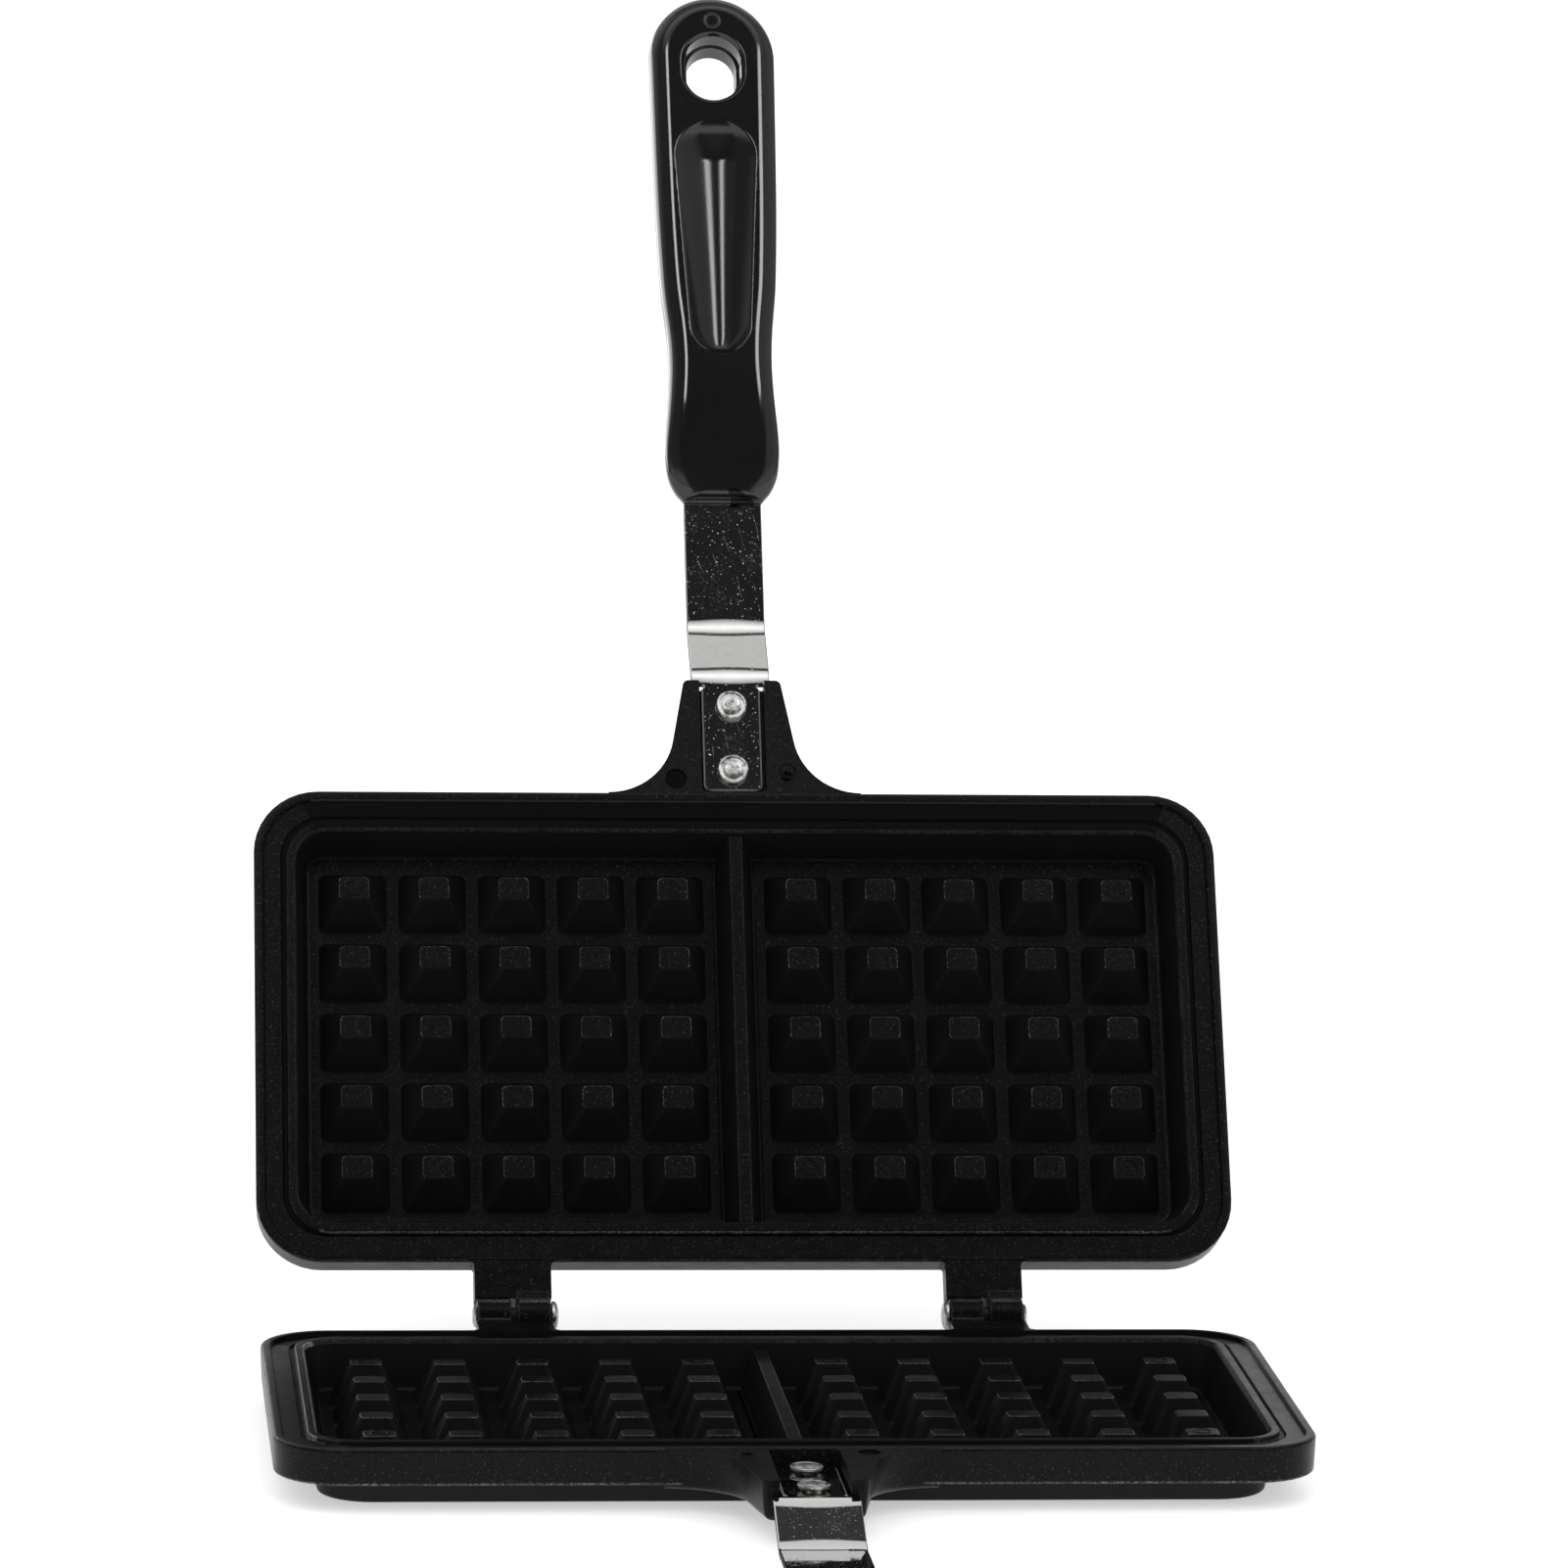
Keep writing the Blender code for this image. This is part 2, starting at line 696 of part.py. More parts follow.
def grip_screw(name, parent, finish):
    """Slotted screw from the grip's back, its head on the strap's tail."""
    seat = tail_bottom - fit_gap
    profile = [(seat - screw_head_height, screw_head_radius - screw_slot_depth),
               (seat - screw_head_height + screw_slot_depth, screw_head_radius),
               (seat, screw_head_radius), (seat, screw_shank_radius),
               (seat + screw_length - screw_shank_radius, screw_shank_radius),
               (seat + screw_length, screw_shank_radius / 2)]
    made = place(name, turned(name, profile, handle_point(screw_place), Vector((0, 0, 1))), parent, finish)
    half = screw_slot_width / 2
    reach = screw_head_radius + cut_overrun
    centre = plate_depth + screw_place
    slot = rounded_box(-reach, reach, centre - half, centre + half, half / 2, 1)
    deep = seat - screw_head_height
    combine(made, prism("slot", slot, deep - cut_overrun, deep + screw_slot_depth), "DIFFERENCE")
    return made


def half(prefix, parent, finishes):
    """One half of the iron, in the frame whose X axis is the hinge line."""
    casting(prefix + "_plate", parent, finishes["casting"])
    strap(prefix + "_strap", parent, finishes["steel"])
    grip(prefix + "_grip", parent, finishes["grip"])
    rivet(prefix + "_rivet_rear", parent, finishes["steel"], rivet_places[0])
    rivet(prefix + "_rivet_front", parent, finishes["steel"], rivet_places[1])
    grip_screw(prefix + "_grip_screw", parent, finishes["steel"])


def build():
    clear_scene()
    finishes = {
        "casting": material("coated_casting", (0.020, 0.020, 0.021), 0.42, 0.0),
        "steel": material("polished_steel", (0.62, 0.62, 0.61), 0.18, 1.0),
        "grip": material("moulded_grip", (0.012, 0.012, 0.012), 0.12, 0.0)}
    hinge_line = Matrix.Translation((0.0, plate_depth / 2 + hinge_reach, half_thickness))
    lower = frame("lower_half_frame", hinge_line)
    turned_over = Matrix.Rotation(-open_angle, 4, "X") @ Matrix.Rotation(math.pi, 4, "Y")
    upper = frame("upper_half_frame", hinge_line @ turned_over)
    half("lower", lower, finishes)
    half("upper", upper, finishes)
    hinge_pin("hinge_pin_left", lower, finishes["steel"], -1)
    hinge_pin("hinge_pin_right", lower, finishes["steel"], 1)


build()
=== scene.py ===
# %% [markdown]
# # A stovetop waffle iron, standing open
#
# We dress a imported CAD model of a double waffle iron. The lower half lies on the table and the
# upper half leans back on its hinge. Every CAD solid is already in its right place, so each finer
# piece is modelled at the same place and takes over from its solid. First we load the frame.

# %% Load the frame
import math

import bmesh
import bpy
from mathutils import Matrix, Vector


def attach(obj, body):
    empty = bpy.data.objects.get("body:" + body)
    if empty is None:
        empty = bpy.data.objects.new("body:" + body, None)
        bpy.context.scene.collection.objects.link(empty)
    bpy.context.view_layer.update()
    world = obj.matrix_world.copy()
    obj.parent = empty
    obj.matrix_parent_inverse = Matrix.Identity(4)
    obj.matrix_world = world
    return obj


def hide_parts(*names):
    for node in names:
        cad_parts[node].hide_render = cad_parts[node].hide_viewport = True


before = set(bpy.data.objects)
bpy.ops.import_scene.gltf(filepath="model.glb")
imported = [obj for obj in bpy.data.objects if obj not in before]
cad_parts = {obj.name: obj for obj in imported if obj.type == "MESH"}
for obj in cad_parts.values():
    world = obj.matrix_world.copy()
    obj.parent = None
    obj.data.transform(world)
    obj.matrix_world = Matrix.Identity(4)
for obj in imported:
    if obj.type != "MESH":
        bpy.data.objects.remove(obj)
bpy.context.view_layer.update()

# %% [markdown]
# ## One casting, used twice
#
# The real iron has two castings from one mould. The second is turned over and hung on the first. So
# every piece is drawn once in a "shut iron" frame: x runs along the hinge, v runs forward from the
# rear edge, and height is measured from the plane where the halves meet. Two matrices then put a
# drawing into the lower or upper half.

# %% The two halves' frames
plate_width = 0.2310
plate_depth = 0.1180
half_thickness = 0.0146
hinge_reach = 0.0134
open_angle = math.radians(120.0)
meeting_gap = 0.0003
plate_top = -meeting_gap / 2

hinge_line = Matrix.Translation((0.0, plate_depth / 2 + hinge_reach, half_thickness))
turned_over = Matrix.Rotation(-open_angle, 4, "X") @ Matrix.Rotation(math.pi, 4, "Y")
half_frames = {"lower": hinge_line, "upper": hinge_line @ turned_over}
print("hinge line:", tuple(round(n, 4) for n in hinge_line.translation))


def spot(x, v, height):
    """A point of the shut iron."""
    return Vector((x, -(v + hinge_reach), height))


def level(outline, height):
    """Lift an outline of (x, v) points to one height."""
    return [spot(x, v, height) for x, v in outline]


# %% [markdown]
# ## Drawing tools
#
# Most shapes here are lofts: a stack of rings with equally many points, joined side by side. Rings
# give exact control over every edge radius, which a primitive with a bevel doesn't. We need arcs,
# boxes with round corners, and a way to round the corners of a side profile.

# %% Arcs and rounded outlines
quarter = math.pi / 2
corner_steps = 10


def arc(centre, radius, start, end, steps):
    angles = [start + (end - start) * i / steps for i in range(steps + 1)]
    return [(centre[0] + radius * math.cos(a), centre[1] + radius * math.sin(a)) for a in angles]


def rounded_box(left, right, back, front, radius, steps=corner_steps):
    """Counter-clockwise outline with round corners."""
    corners = ((right - radius, front - radius), (left + radius, front - radius),
               (left + radius, back + radius), (right - radius, back + radius))
    points = []
    for turn, corner in enumerate(corners):
        points += arc(corner, radius, turn * quarter, (turn + 1) * quarter, steps)
    return points


def eased(corners, steps=4):
    """Round the corners of an open path. Each corner is (a, b, radius); ends keep their place."""
    path = [tuple(corners[0][:2])]
    for before, here, after in zip(corners, corners[1:], corners[2:]):
        point = Vector(here[:2])
        back = (Vector(before[:2]) - point)
        forth = (Vector(after[:2]) - point)
        half_turn = back.angle(forth) / 2
        reach = min(here[2] / math.tan(half_turn), 0.49 * back.length, 0.49 * forth.length)
        start = point + back.normalized() * reach
        end = point + forth.normalized() * reach
        for i in range(steps + 1):
            t = i / steps
            path.append(tuple((1 - t) ** 2 * start + 2 * t * (1 - t) * point + t ** 2 * end))
    path.append(tuple(corners[-1][:2]))
    return path


print("a quarter corner has", corner_steps + 1, "points")


# %% [markdown]
# ## From rings to a piece
#
# A small class keeps one bmesh per piece. It lofts rings, fills flat areas that have holes, and
# remembers which faces belong to which finish. When a piece is done it becomes one object, moved
# into its half's frame, smooth shaded, and with normals weighted by face area so that flats stay
# flat.

# %% The piece maker
def in_scene(name, data):
    made = bpy.data.objects.new(name, data)
    bpy.context.scene.collection.objects.link(made)
    return made


class Piece:
    def __init__(self):
        self.body = bmesh.new()

    def ring(self, points):
        return [self.body.verts.new(p) for p in points]

    def band(self, low, high, finish=0, closed=True):
        count = len(low)
        for i in range(count if closed else count - 1):
            j = (i + 1) % count
            self.body.faces.new((low[i], low[j], high[j], high[i])).material_index = finish

    def loft(self, rings):
        loops = [self.ring(points) for points in rings]
        for low, high in zip(loops, loops[1:]):
            self.band(low, high)
        self.body.faces.new(loops[0][::-1])
        self.body.faces.new(loops[-1])
        return loops

    def fill(self, loops):
        """Fill the flat area between an outer loop and the holes in it."""
        edges = []
        for loop in loops:
            for a, b in zip(loop, loop[1:] + loop[:1]):
                edges.append(self.body.edges.get((a, b)) or self.body.edges.new((a, b)))
        bmesh.ops.triangle_fill(self.body, edges=edges, use_beauty=True)

    def as_mesh(self, name):
        bmesh.ops.recalc_face_normals(self.body, faces=self.body.faces)
        mesh = bpy.data.meshes.new(name)
        self.body.to_mesh(mesh)
        self.body.free()
        return mesh

    def finish(self, name, half, slot, nodes, finishes, sharp=50.0):
        body = half + "_half"
        mesh = self.as_mesh(name)
        mesh.transform(half_frames[half])
        for made in finishes:
            mesh.materials.append(made)
        mesh.shade_smooth()
        mesh.set_sharp_from_angle(angle=math.radians(sharp))
        piece = in_scene(name, mesh)
        even_flats = piece.modifiers.new("even_flats", "WEIGHTED_NORMAL")
        even_flats.keep_sharp = True
        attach(piece, body)
        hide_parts(*nodes)
        print(name, len(mesh.polygons), "faces")
        return piece


# %% [markdown]
# Some parts, such as the handle's lug and the hinge arms, are short stacks or prisms with broken
# edges, and one has a pocket. For those a bevel and a boolean are quicker than rings. The modifiers
# run on a throwaway object, and only the resulting mesh is kept.

# %% Prisms with pockets and broken edges
def stacked_mesh(rings):
    piece = Piece()
    piece.loft(rings)
    return piece.as_mesh("stack")


def prism_mesh(outline, low, high):
    return stacked_mesh([level(outline, low), level(outline, high)])


def bar_mesh(profile, left, right):
    """A side profile of (v, height) points, drawn across from left to right."""
    return stacked_mesh([[spot(x, v, h) for v, h in profile] for x in (left, right)])


def worked(mesh, cutters=(), edge=0.0004, edge_finish=0):
    """Cut pockets, then break the sharp edges and give them a finish of their own."""
    for _ in range(edge_finish + 1):
        mesh.materials.append(None)
    blank = in_scene("blank", mesh)
    tools = [in_scene("cutter", cutter) for cutter in cutters]
    for tool in tools:
        cut = blank.modifiers.new("pocket", "BOOLEAN")
        cut.operation = "DIFFERENCE"
        cut.solver = "EXACT"
        cut.object = tool
    soften = blank.modifiers.new("broken_edge", "BEVEL")
    soften.width = edge
    soften.segments = 3
    soften.material = edge_finish
    soften.limit_method = "ANGLE"
    soften.angle_limit = math.radians(28.0)
    seen = blank.evaluated_get(bpy.context.evaluated_depsgraph_get())
    result = bpy.data.meshes.new_from_object(seen)
    for old in [blank] + tools:
        bpy.data.objects.remove(old)
    return result


print("tools ready")

# %% [markdown]
# ## The non-stick coating
#
# Both castings carry a black non-stick coat: nearly black, half matt, with tiny pale flecks, which
# are painted glints, and a faint orange-peel surface. Noise that is measured in metres draws all of
# that at its real size, without any image. A few helpers come first, because every finish here is
# wired in the same way.

# %% Node helpers
def new_finish(name):
    made = bpy.data.materials.new(name)
    made.use_nodes = True
    return made, made.node_tree, made.node_tree.nodes["Principled BSDF"]


def fill_inputs(tree, target, inputs):
    """Fill inputs by name or number: link a socket, or set a plain value."""
    for key, value in dict(inputs).items():
        if isinstance(value, bpy.types.NodeSocket):
            tree.links.new(value, target.inputs[key])
        else:
            target.inputs[key].default_value = value


def node(tree, kind, inputs=(), **settings):
    made = tree.nodes.new(kind)
    for key, value in settings.items():
        setattr(made, key, value)
    fill_inputs(tree, made, inputs)
    return made


def place_in_metres(tree):
    return tree.nodes.new("ShaderNodeTexCoord").outputs["Object"]


def noise(tree, place, scale, detail=2.0, rough=0.5):
    return node(tree, "ShaderNodeTexNoise", {"Vector": place, "Scale": scale, "Detail": detail,
                                             "Roughness": rough}).outputs["Fac"]


def span(tree, value, from_low, from_high, to_low, to_high):
    """Map one range of values to another, clamped."""
    return node(tree, "ShaderNodeMapRange", {"Value": value, "From Min": from_low, "From Max": from_high,
                                             "To Min": to_low, "To Max": to_high}).outputs["Result"]


def calc(tree, operation, a, b=0.0):
    return node(tree, "ShaderNodeMath", {0: a, 1: b}, operation=operation).outputs[0]


def blend(tree, value, other, share):
    return node(tree, "ShaderNodeMix", {0: share, 2: value, 3: other}, data_type="FLOAT").outputs[0]


def shade_between(tree, factor, dark, pale):
    made = node(tree, "ShaderNodeMix", {0: factor, 6: (*dark, 1.0), 7: (*pale, 1.0)}, data_type="RGBA")
    return made.outputs[2]


def bumped(tree, height, strength, distance, edge=0.0, samples=4):
    """A bump; with an edge radius it also rounds the shading of sharp edges."""
    inputs = {"Strength": strength, "Distance": distance, "Height": height}
    if edge:
        inputs["Normal"] = node(tree, "ShaderNodeBevel", {"Radius": edge}, samples=samples).outputs["Normal"]
    return node(tree, "ShaderNodeBump", inputs).outputs["Normal"]


print("node helpers ready")


# %% [markdown]
# One coat is drawn in lit and shaded copies. Flats and outer walls carry pale flecks, which are
# painted glints. The cavity's walls have none and a paler tone, painted light on faces in shade.
# The channel is darker, painted shade, and the base is paler, painted light. Along convex edges a
# dotted pale line is a painted highlight. Each is a finish of its own, and each face will get one by
# where it lies.

# %% Coats
def coated_casting(name, sheen):
    """The coat on flats and outer walls, with pale flecks painted as glints."""
    made, tree, surface = new_finish(name)
    place = place_in_metres(tree)
    cloud = noise(tree, place, 60.0, 3.0)
    coat = shade_between(tree, cloud, (0.0030, 0.0030, 0.0031), (0.0044, 0.0044, 0.0045))
    # Pale flecks are painted glints; this coat only goes on faces turned towards the light
    glint_mask = span(tree, noise(tree, place, 1900.0, 1.5, 0.6), 0.60, 0.74, 0.0, 1.0)
    painted_glints = shade_between(tree, glint_mask, (0.0, 0.0, 0.0), (0.026, 0.026, 0.027))
    both = node(tree, "ShaderNodeMix", {0: 1.0, 6: coat, 7: painted_glints}, data_type="RGBA", blend_type="ADD")
    gloss = span(tree, noise(tree, place, 240.0, 2.0), 0.3, 0.7, 0.28, 0.36)
    peel = noise(tree, place, 1100.0, 3.0, 0.6)
    fill_inputs(tree, surface, {
        "Base Color": both.outputs[2], "Roughness": gloss, "Specular IOR Level": sheen,
        "Normal": bumped(tree, peel, 0.5, 0.00012, 0.0003, 6)})
    return made


def plain_coat(name, tone, sheen):
    """A coat in one tone without flecks. Its paler copies are painted light, its darkest painted shade."""
    made, tree, surface = new_finish(name)
    cloud = noise(tree, place_in_metres(tree), 90.0, 2.0)
    fill_inputs(tree, surface, {
        "Base Color": shade_between(tree, cloud, (0.86 * tone,) * 3, (1.14 * tone,) * 3),
        "Roughness": span(tree, cloud, 0.3, 0.7, 0.34, 0.42), "Specular IOR Level": sheen})
    return made


def highlight_coat(name, dark, pale):
    """A dotted pale line along an edge: a painted highlight."""
    made, tree, surface = new_finish(name)
    place = place_in_metres(tree)
    dots = span(tree, noise(tree, place, 1700.0, 1.0), 0.40, 0.66, 0.0, 1.0)
    stretch = span(tree, noise(tree, place, 120.0, 2.0), 0.35, 0.60, 0.30, 1.0)
    tone = shade_between(tree, calc(tree, "MULTIPLY", dots, stretch), (dark,) * 3, (pale,) * 3)
    fill_inputs(tree, surface, {"Base Color": tone, "Roughness": span(tree, dots, 0.0, 1.0, 0.34, 0.26),
                                "Specular IOR Level": 0.12})
    return made


# The three dotted edge coats are painted highlights, from faint to bright. The paler plain coats are painted
# light, and the darkest is painted shade.
coats = [coated_casting("black_non_stick_coat", 0.050), coated_casting("outer_coat", 0.09),
         plain_coat("even_lit_coat", 0.0066, 0.04), plain_coat("shaded_coat", 0.0024, 0.03),
         plain_coat("pale_lit_coat", 0.0230, 0.05), highlight_coat("highlight_edge", 0.012, 0.120),
         highlight_coat("dim_highlight_edge", 0.007, 0.034), highlight_coat("bright_highlight_edge", 0.050, 0.300)]
flecked, outer, even_lit, shaded, pale_lit, highlight, dim_highlight, bright_highlight = range(len(coats))
print("coats:", [made.name for made in coats])

# %% [markdown]
# ## The plate as a tray
#
# Seen from the side, the casting is a shallow tray: a raised base, a ledge, a drafted rim with a
# round top edge, a sealing channel, a thin lip that meets the other half's lip, and a cavity with
# sloping walls. We draw that side profile once as (inset, height) with a radius at every corner,
# and loft it around the rounded rectangle.

# %% Tray profile
rim_height = 0.0084
base_inset = 0.0100
base_inset_rear = 0.0026
bead_width = 0.0021
channel_depth = 0.0010
groove_depth = 0.0014
lip_inset = 0.00775
lip_width = 0.0019
lip_inner = lip_inset + lip_width
lip_extra = 0.0007
lip_blend = 0.0010
base_corner = 0.0120
cavity_depth = 0.0115
cavity_floor = -cavity_depth
floor_inset = lip_inner + 0.0032

# Where the corner radius is known; between these insets it runs evenly
corner_radii = ((0.0, 0.0155), (0.0064, 0.0102), (lip_inset, 0.0102), (lip_inner, 0.0083),
                (floor_inset, 0.0040))


def corner_radius_at(inset):
    for (low, first), (high, second) in zip(corner_radii, corner_radii[1:]):
        if inset <= high:
            return first + (second - first) * (inset - low) / (high - low)
    return corner_radii[-1][1] - (inset - corner_radii[-1][0])


def rim_outline(inset):
    """The lip is a little wider on the hinge side."""
    half = plate_width / 2 - inset
    back = inset - lip_extra * max(0.0, 1 - abs(inset - lip_inset) / lip_blend)
    return rounded_box(-half, half, back, plate_depth - inset, corner_radius_at(inset))


def base_outline(inset):
    half = plate_width / 2 - inset
    extra = inset - base_inset
    return rounded_box(-half, half, base_inset_rear + extra, plate_depth - inset, base_corner - extra)


base_profile = eased([(base_inset + 0.0040, -half_thickness, 0.0), (base_inset, -half_thickness, 0.0012),
                      (base_inset, -rim_height, 0.0007), (base_inset - 0.0009, -rim_height, 0.0)], 5)
rim_profile = eased([
    (0.0015, -rim_height, 0.0), (0.0003, -rim_height, 0.0009), (0.0, plate_top, 0.0009),
    (bead_width, plate_top, 0.0003), (bead_width + 0.0004, -channel_depth, 0.0003),
    (0.0064, -channel_depth, 0.0003), (0.0067, -groove_depth, 0.0003), (lip_inset, -groove_depth, 0.0003),
    (lip_inset, plate_top, 0.0004), (lip_inner - 0.0001, plate_top, 0.0003),
    (lip_inner + 0.0004, -0.0012, 0.0003), (floor_inset, cavity_floor, 0.0013),
    (floor_inset + 0.0020, cavity_floor, 0.0)])
print("tray profile:", len(base_profile) + len(rim_profile), "rings")

# %% [markdown]
# ## Studs
#
# Each waffle pocket is pressed by a truncated pyramid. Two fields of five by five stand on the
# floor. Their feet flow into the floor with a small radius, because a casting has no sharp inner
# corners. The floor between them is filled as one flat area with fifty holes, so floor and studs
# are one skin.

# %% Stud rings
stud_columns = [0.01542 + 0.01904 * i for i in range(5)]
stud_rows = [plate_depth / 2 + 0.0175 * (i - 2) for i in range(5)]
stud_top = -0.0022
foot_half = (0.0080, 0.0073)
top_half = (0.00355, 0.0028)
foot_shift = 0.0009
top_shift = 0.0001
stud_corner = 0.0012

# Share 0 is the foot and 1 the top of the slope; the path runs from floor to the middle of the flat
stud_slope = eased([(-0.30, 0.0, 0.0), (0.0, 0.0, 0.16), (1.0, 1.0, 0.09), (1.5, 1.0, 0.0)], 4)


def stud_rings(x, v):
    rings = []
    for share, rise in stud_slope[1:-1]:
        middle = v - top_shift - foot_shift * (1 - min(max(rise, 0.0), 1.0))
        half_x = foot_half[0] + (top_half[0] - foot_half[0]) * share
        half_v = foot_half[1] + (top_half[1] - foot_half[1]) * share
        height = cavity_floor + (stud_top - cavity_floor) * rise
        corner = stud_corner + 0.0003 * (1 - share)
        outline = rounded_box(x - half_x, x + half_x, middle - half_v, middle + half_v, corner, 4)
        rings.append(level(outline, height))
    return rings


print("stud path:", [tuple(round(n, 3) for n in p) for p in stud_slope])


# %% [markdown]
# Now the tray itself. Each band between two rings takes its coat from its place in the side
# profile, because a rim's top, its edges and its channel get different painted highlights and shade.

# %% Tray
def tray_coat(low, high):
    """The coat of the band between two points of the rim's side profile."""
    inset, height = (low[0] + high[0]) / 2, (low[1] + high[1]) / 2
    levelness = abs(high[0] - low[0]) / math.dist(low, high)
    # The rim's round top edge and its lower edge get painted highlights, and the channel's groove painted
    # shade
    if inset < bead_width / 2:
        if height < -rim_height + 0.0006:
            return highlight
        return dim_highlight if 0.5 < levelness < 0.9 and height > -0.0015 else outer
    if inset < lip_inset - 0.0001:
        return shaded if height < -channel_depth - 0.0001 else flecked
    # Lip edges and the walls' feet get a faint painted highlight, and steep walls the paler coat, painted
    # light
    if height > -0.0012:
        return flecked if levelness > 0.97 else dim_highlight
    if levelness < 0.80:
        return even_lit
    return dim_highlight if levelness < 0.93 else flecked


def cast_tray(piece):
    skin = [piece.ring(level(base_outline(inset), height)) for inset, height in base_profile]
    skin += [piece.ring(level(rim_outline(inset), height)) for inset, height in rim_profile]
    # The base and its underside get a paler coat: painted light where the base stands in shade under the
    # ledge
    base_coats = [pale_lit] * (len(base_profile) - 4) + [outer] * 4
    coat_list = base_coats + [tray_coat(low, high) for low, high in zip(rim_profile, rim_profile[1:])]
    for low, high, coat in zip(skin, skin[1:], coat_list):
        piece.band(low, high, coat)
    piece.body.faces.new(skin[0][::-1]).material_index = pale_lit
    holes = []
    for side in (-1, 1):
        for column in stud_columns:
            for row in stud_rows:
                rings = [piece.ring(points) for points in stud_rings(side * column, row)]
                for low, high in zip(rings, rings[1:]):
                    # Stud sides get the paler coat without flecks: painted light
                    piece.band(low, high, even_lit)
                piece.body.faces.new(rings[-1])
                holes.append(rings[0])
    piece.fill([skin[-1]] + holes)


print("a tray has", 2 * len(stud_columns) * len(stud_rows), "studs")


# %% [markdown]
# ## Divider, lug and hinge arms
#
# A low wall parts the two fields of studs. It is one loft from rear to front, and its ends reach
# into the walls of the cavity, as cast metal would.

# %% Divider
def add_divider(piece):
    end = lip_inset + lip_width / 2
    side = eased([(0.0053, cavity_floor, 0.0), (0.0043, cavity_floor, 0.0009), (0.0015, stud_top, 0.0005),
                  (0.0, stud_top, 0.0)], 4)

    def section(lowest):
        """Its cross section; near the walls it is cut off below, so that its ends stay in the metal."""
        right = [(side[0][0], lowest - 0.0008)] + [(x, max(h, lowest)) for x, h in side]
        return right + [(-x, h) for x, h in right[-2::-1]]

    run_in = ((end, -0.0070), (end + 0.0016, -0.0074), (end + 0.0032, cavity_floor))
    run_out = [(plate_depth - v, lowest) for v, lowest in reversed(run_in)]
    piece.loft([[spot(x, v, h) for x, h in section(lowest)] for v, lowest in (*run_in, *run_out)])


print("divider top at", stud_top)


# %% [markdown]
# In front, a tapered lug carries the handle strap in a shallow pocket. Large fillets lead it into
# the rim, and its lower edge is drafted and round. The pocket and two shallow round marks are cut
# with a boolean, because their edges are crisp.

# %% Lug
lug_length = 0.0290
lug_thickness = 0.0097
lug_root = 0.0169
lug_tip = 0.0119
lug_fillet = 0.0160
lug_corner = 0.0014
lug_top = plate_top - 0.00003
strap_top = -0.0036
strap_thickness = 0.0018
recess_width = 0.0157
recess_floor = strap_top - strap_thickness - meeting_gap
root_inset = bead_width / 2


def lug_outline(inset=0.0):
    """Tapered tab; an inset moves its whole edge inwards, fillets included."""
    slope = math.atan2(lug_root - lug_tip, lug_length)
    fillet = lug_fillet + inset
    tangent = fillet * math.tan((quarter - slope) / 2)
    root = lug_root - inset + tangent
    corner = max(lug_corner - 0.3 * inset, 0.0004)
    right = [(root, plate_depth - inset - root_inset)]
    right += arc((root, plate_depth - inset + fillet), fillet, -quarter, -math.pi + slope, 14)
    tip = plate_depth + lug_length - inset - corner
    right += arc((lug_tip - inset - corner, tip), corner, slope, quarter, 8)
    return right + [(-x, v) for x, v in reversed(right)]


lug_under = 0.0024
lug_draft = 0.0007
lug_levels = [(lug_draft + lug_under * (1 - math.sin(quarter * i / 6)),
               -lug_thickness + lug_under * (1 - math.cos(quarter * i / 6))) for i in range(7)]
lug_levels += [(0.0, lug_top)]
lug_marks = ((0.0141, plate_depth + 0.0034, 0.0026), (-0.0126, plate_depth + 0.0042, 0.0013))


def recess_outline():
    half, corner = recess_width / 2, 0.0012
    back, front = plate_depth + 0.0003, plate_depth + lug_length + 0.0040
    left = arc((-half + corner, back + corner), corner, math.pi, 1.5 * math.pi, 6)
    return [(half, front), (-half, front)] + left + [(-x, v) for x, v in reversed(left)]


def disc(x, v, radius, steps=32):
    return arc((x, v), radius, 0.0, 2 * math.pi * (1 - 1 / steps), steps - 1)


def add_lug(piece):
    pocket = prism_mesh(recess_outline(), recess_floor, 0.0040)
    cutters = [pocket] + [prism_mesh(disc(*mark), lug_top - 0.0005, 0.0040) for mark in lug_marks]
    blank = stacked_mesh([level(lug_outline(inset), height) for inset, height in lug_levels])
    piece.body.from_mesh(worked(blank, cutters, 0.0004))


print("lug levels:", len(lug_levels), "pocket floor at", round(recess_floor, 5))


# %% [markdown]
# Behind, two arms reach to the hinge line. Each has one knuckle, a stop heel that meets the other
# half's arm when the iron is open, and a foot on which the open iron rests. The arms are outlines
# seen from above, while the knuckles with their heels and the feet are side profiles drawn across
# the iron. All have broken edges. They overlap the tray a little, and rounded shading blends the
# joins.

# %% Arms, knuckles and feet
hinge_centre = 0.0555
arm_width = 0.0180
arm_thickness = 0.0066
knuckle_radius = 0.0039
relief_reach = knuckle_radius + 0.0005
overlap = 0.0020
heel_near = 0.0020
heel_far = 0.0064
heel_chamfer = 0.0020
foot_half_width = 0.0074
foot_round = 0.0012
foot_overlap = 0.0032
foot_setback = 0.0018
knuckle_setback = 0.0004
knuckle_gap = 0.0013
knuckle_outer = hinge_centre + arm_width / 2 - knuckle_setback
knuckle_inner = hinge_centre - arm_width / 2 + knuckle_setback
knuckle_ranges = ((-knuckle_outer, -hinge_centre - knuckle_gap / 2),
                  (knuckle_inner, hinge_centre - knuckle_gap / 2))


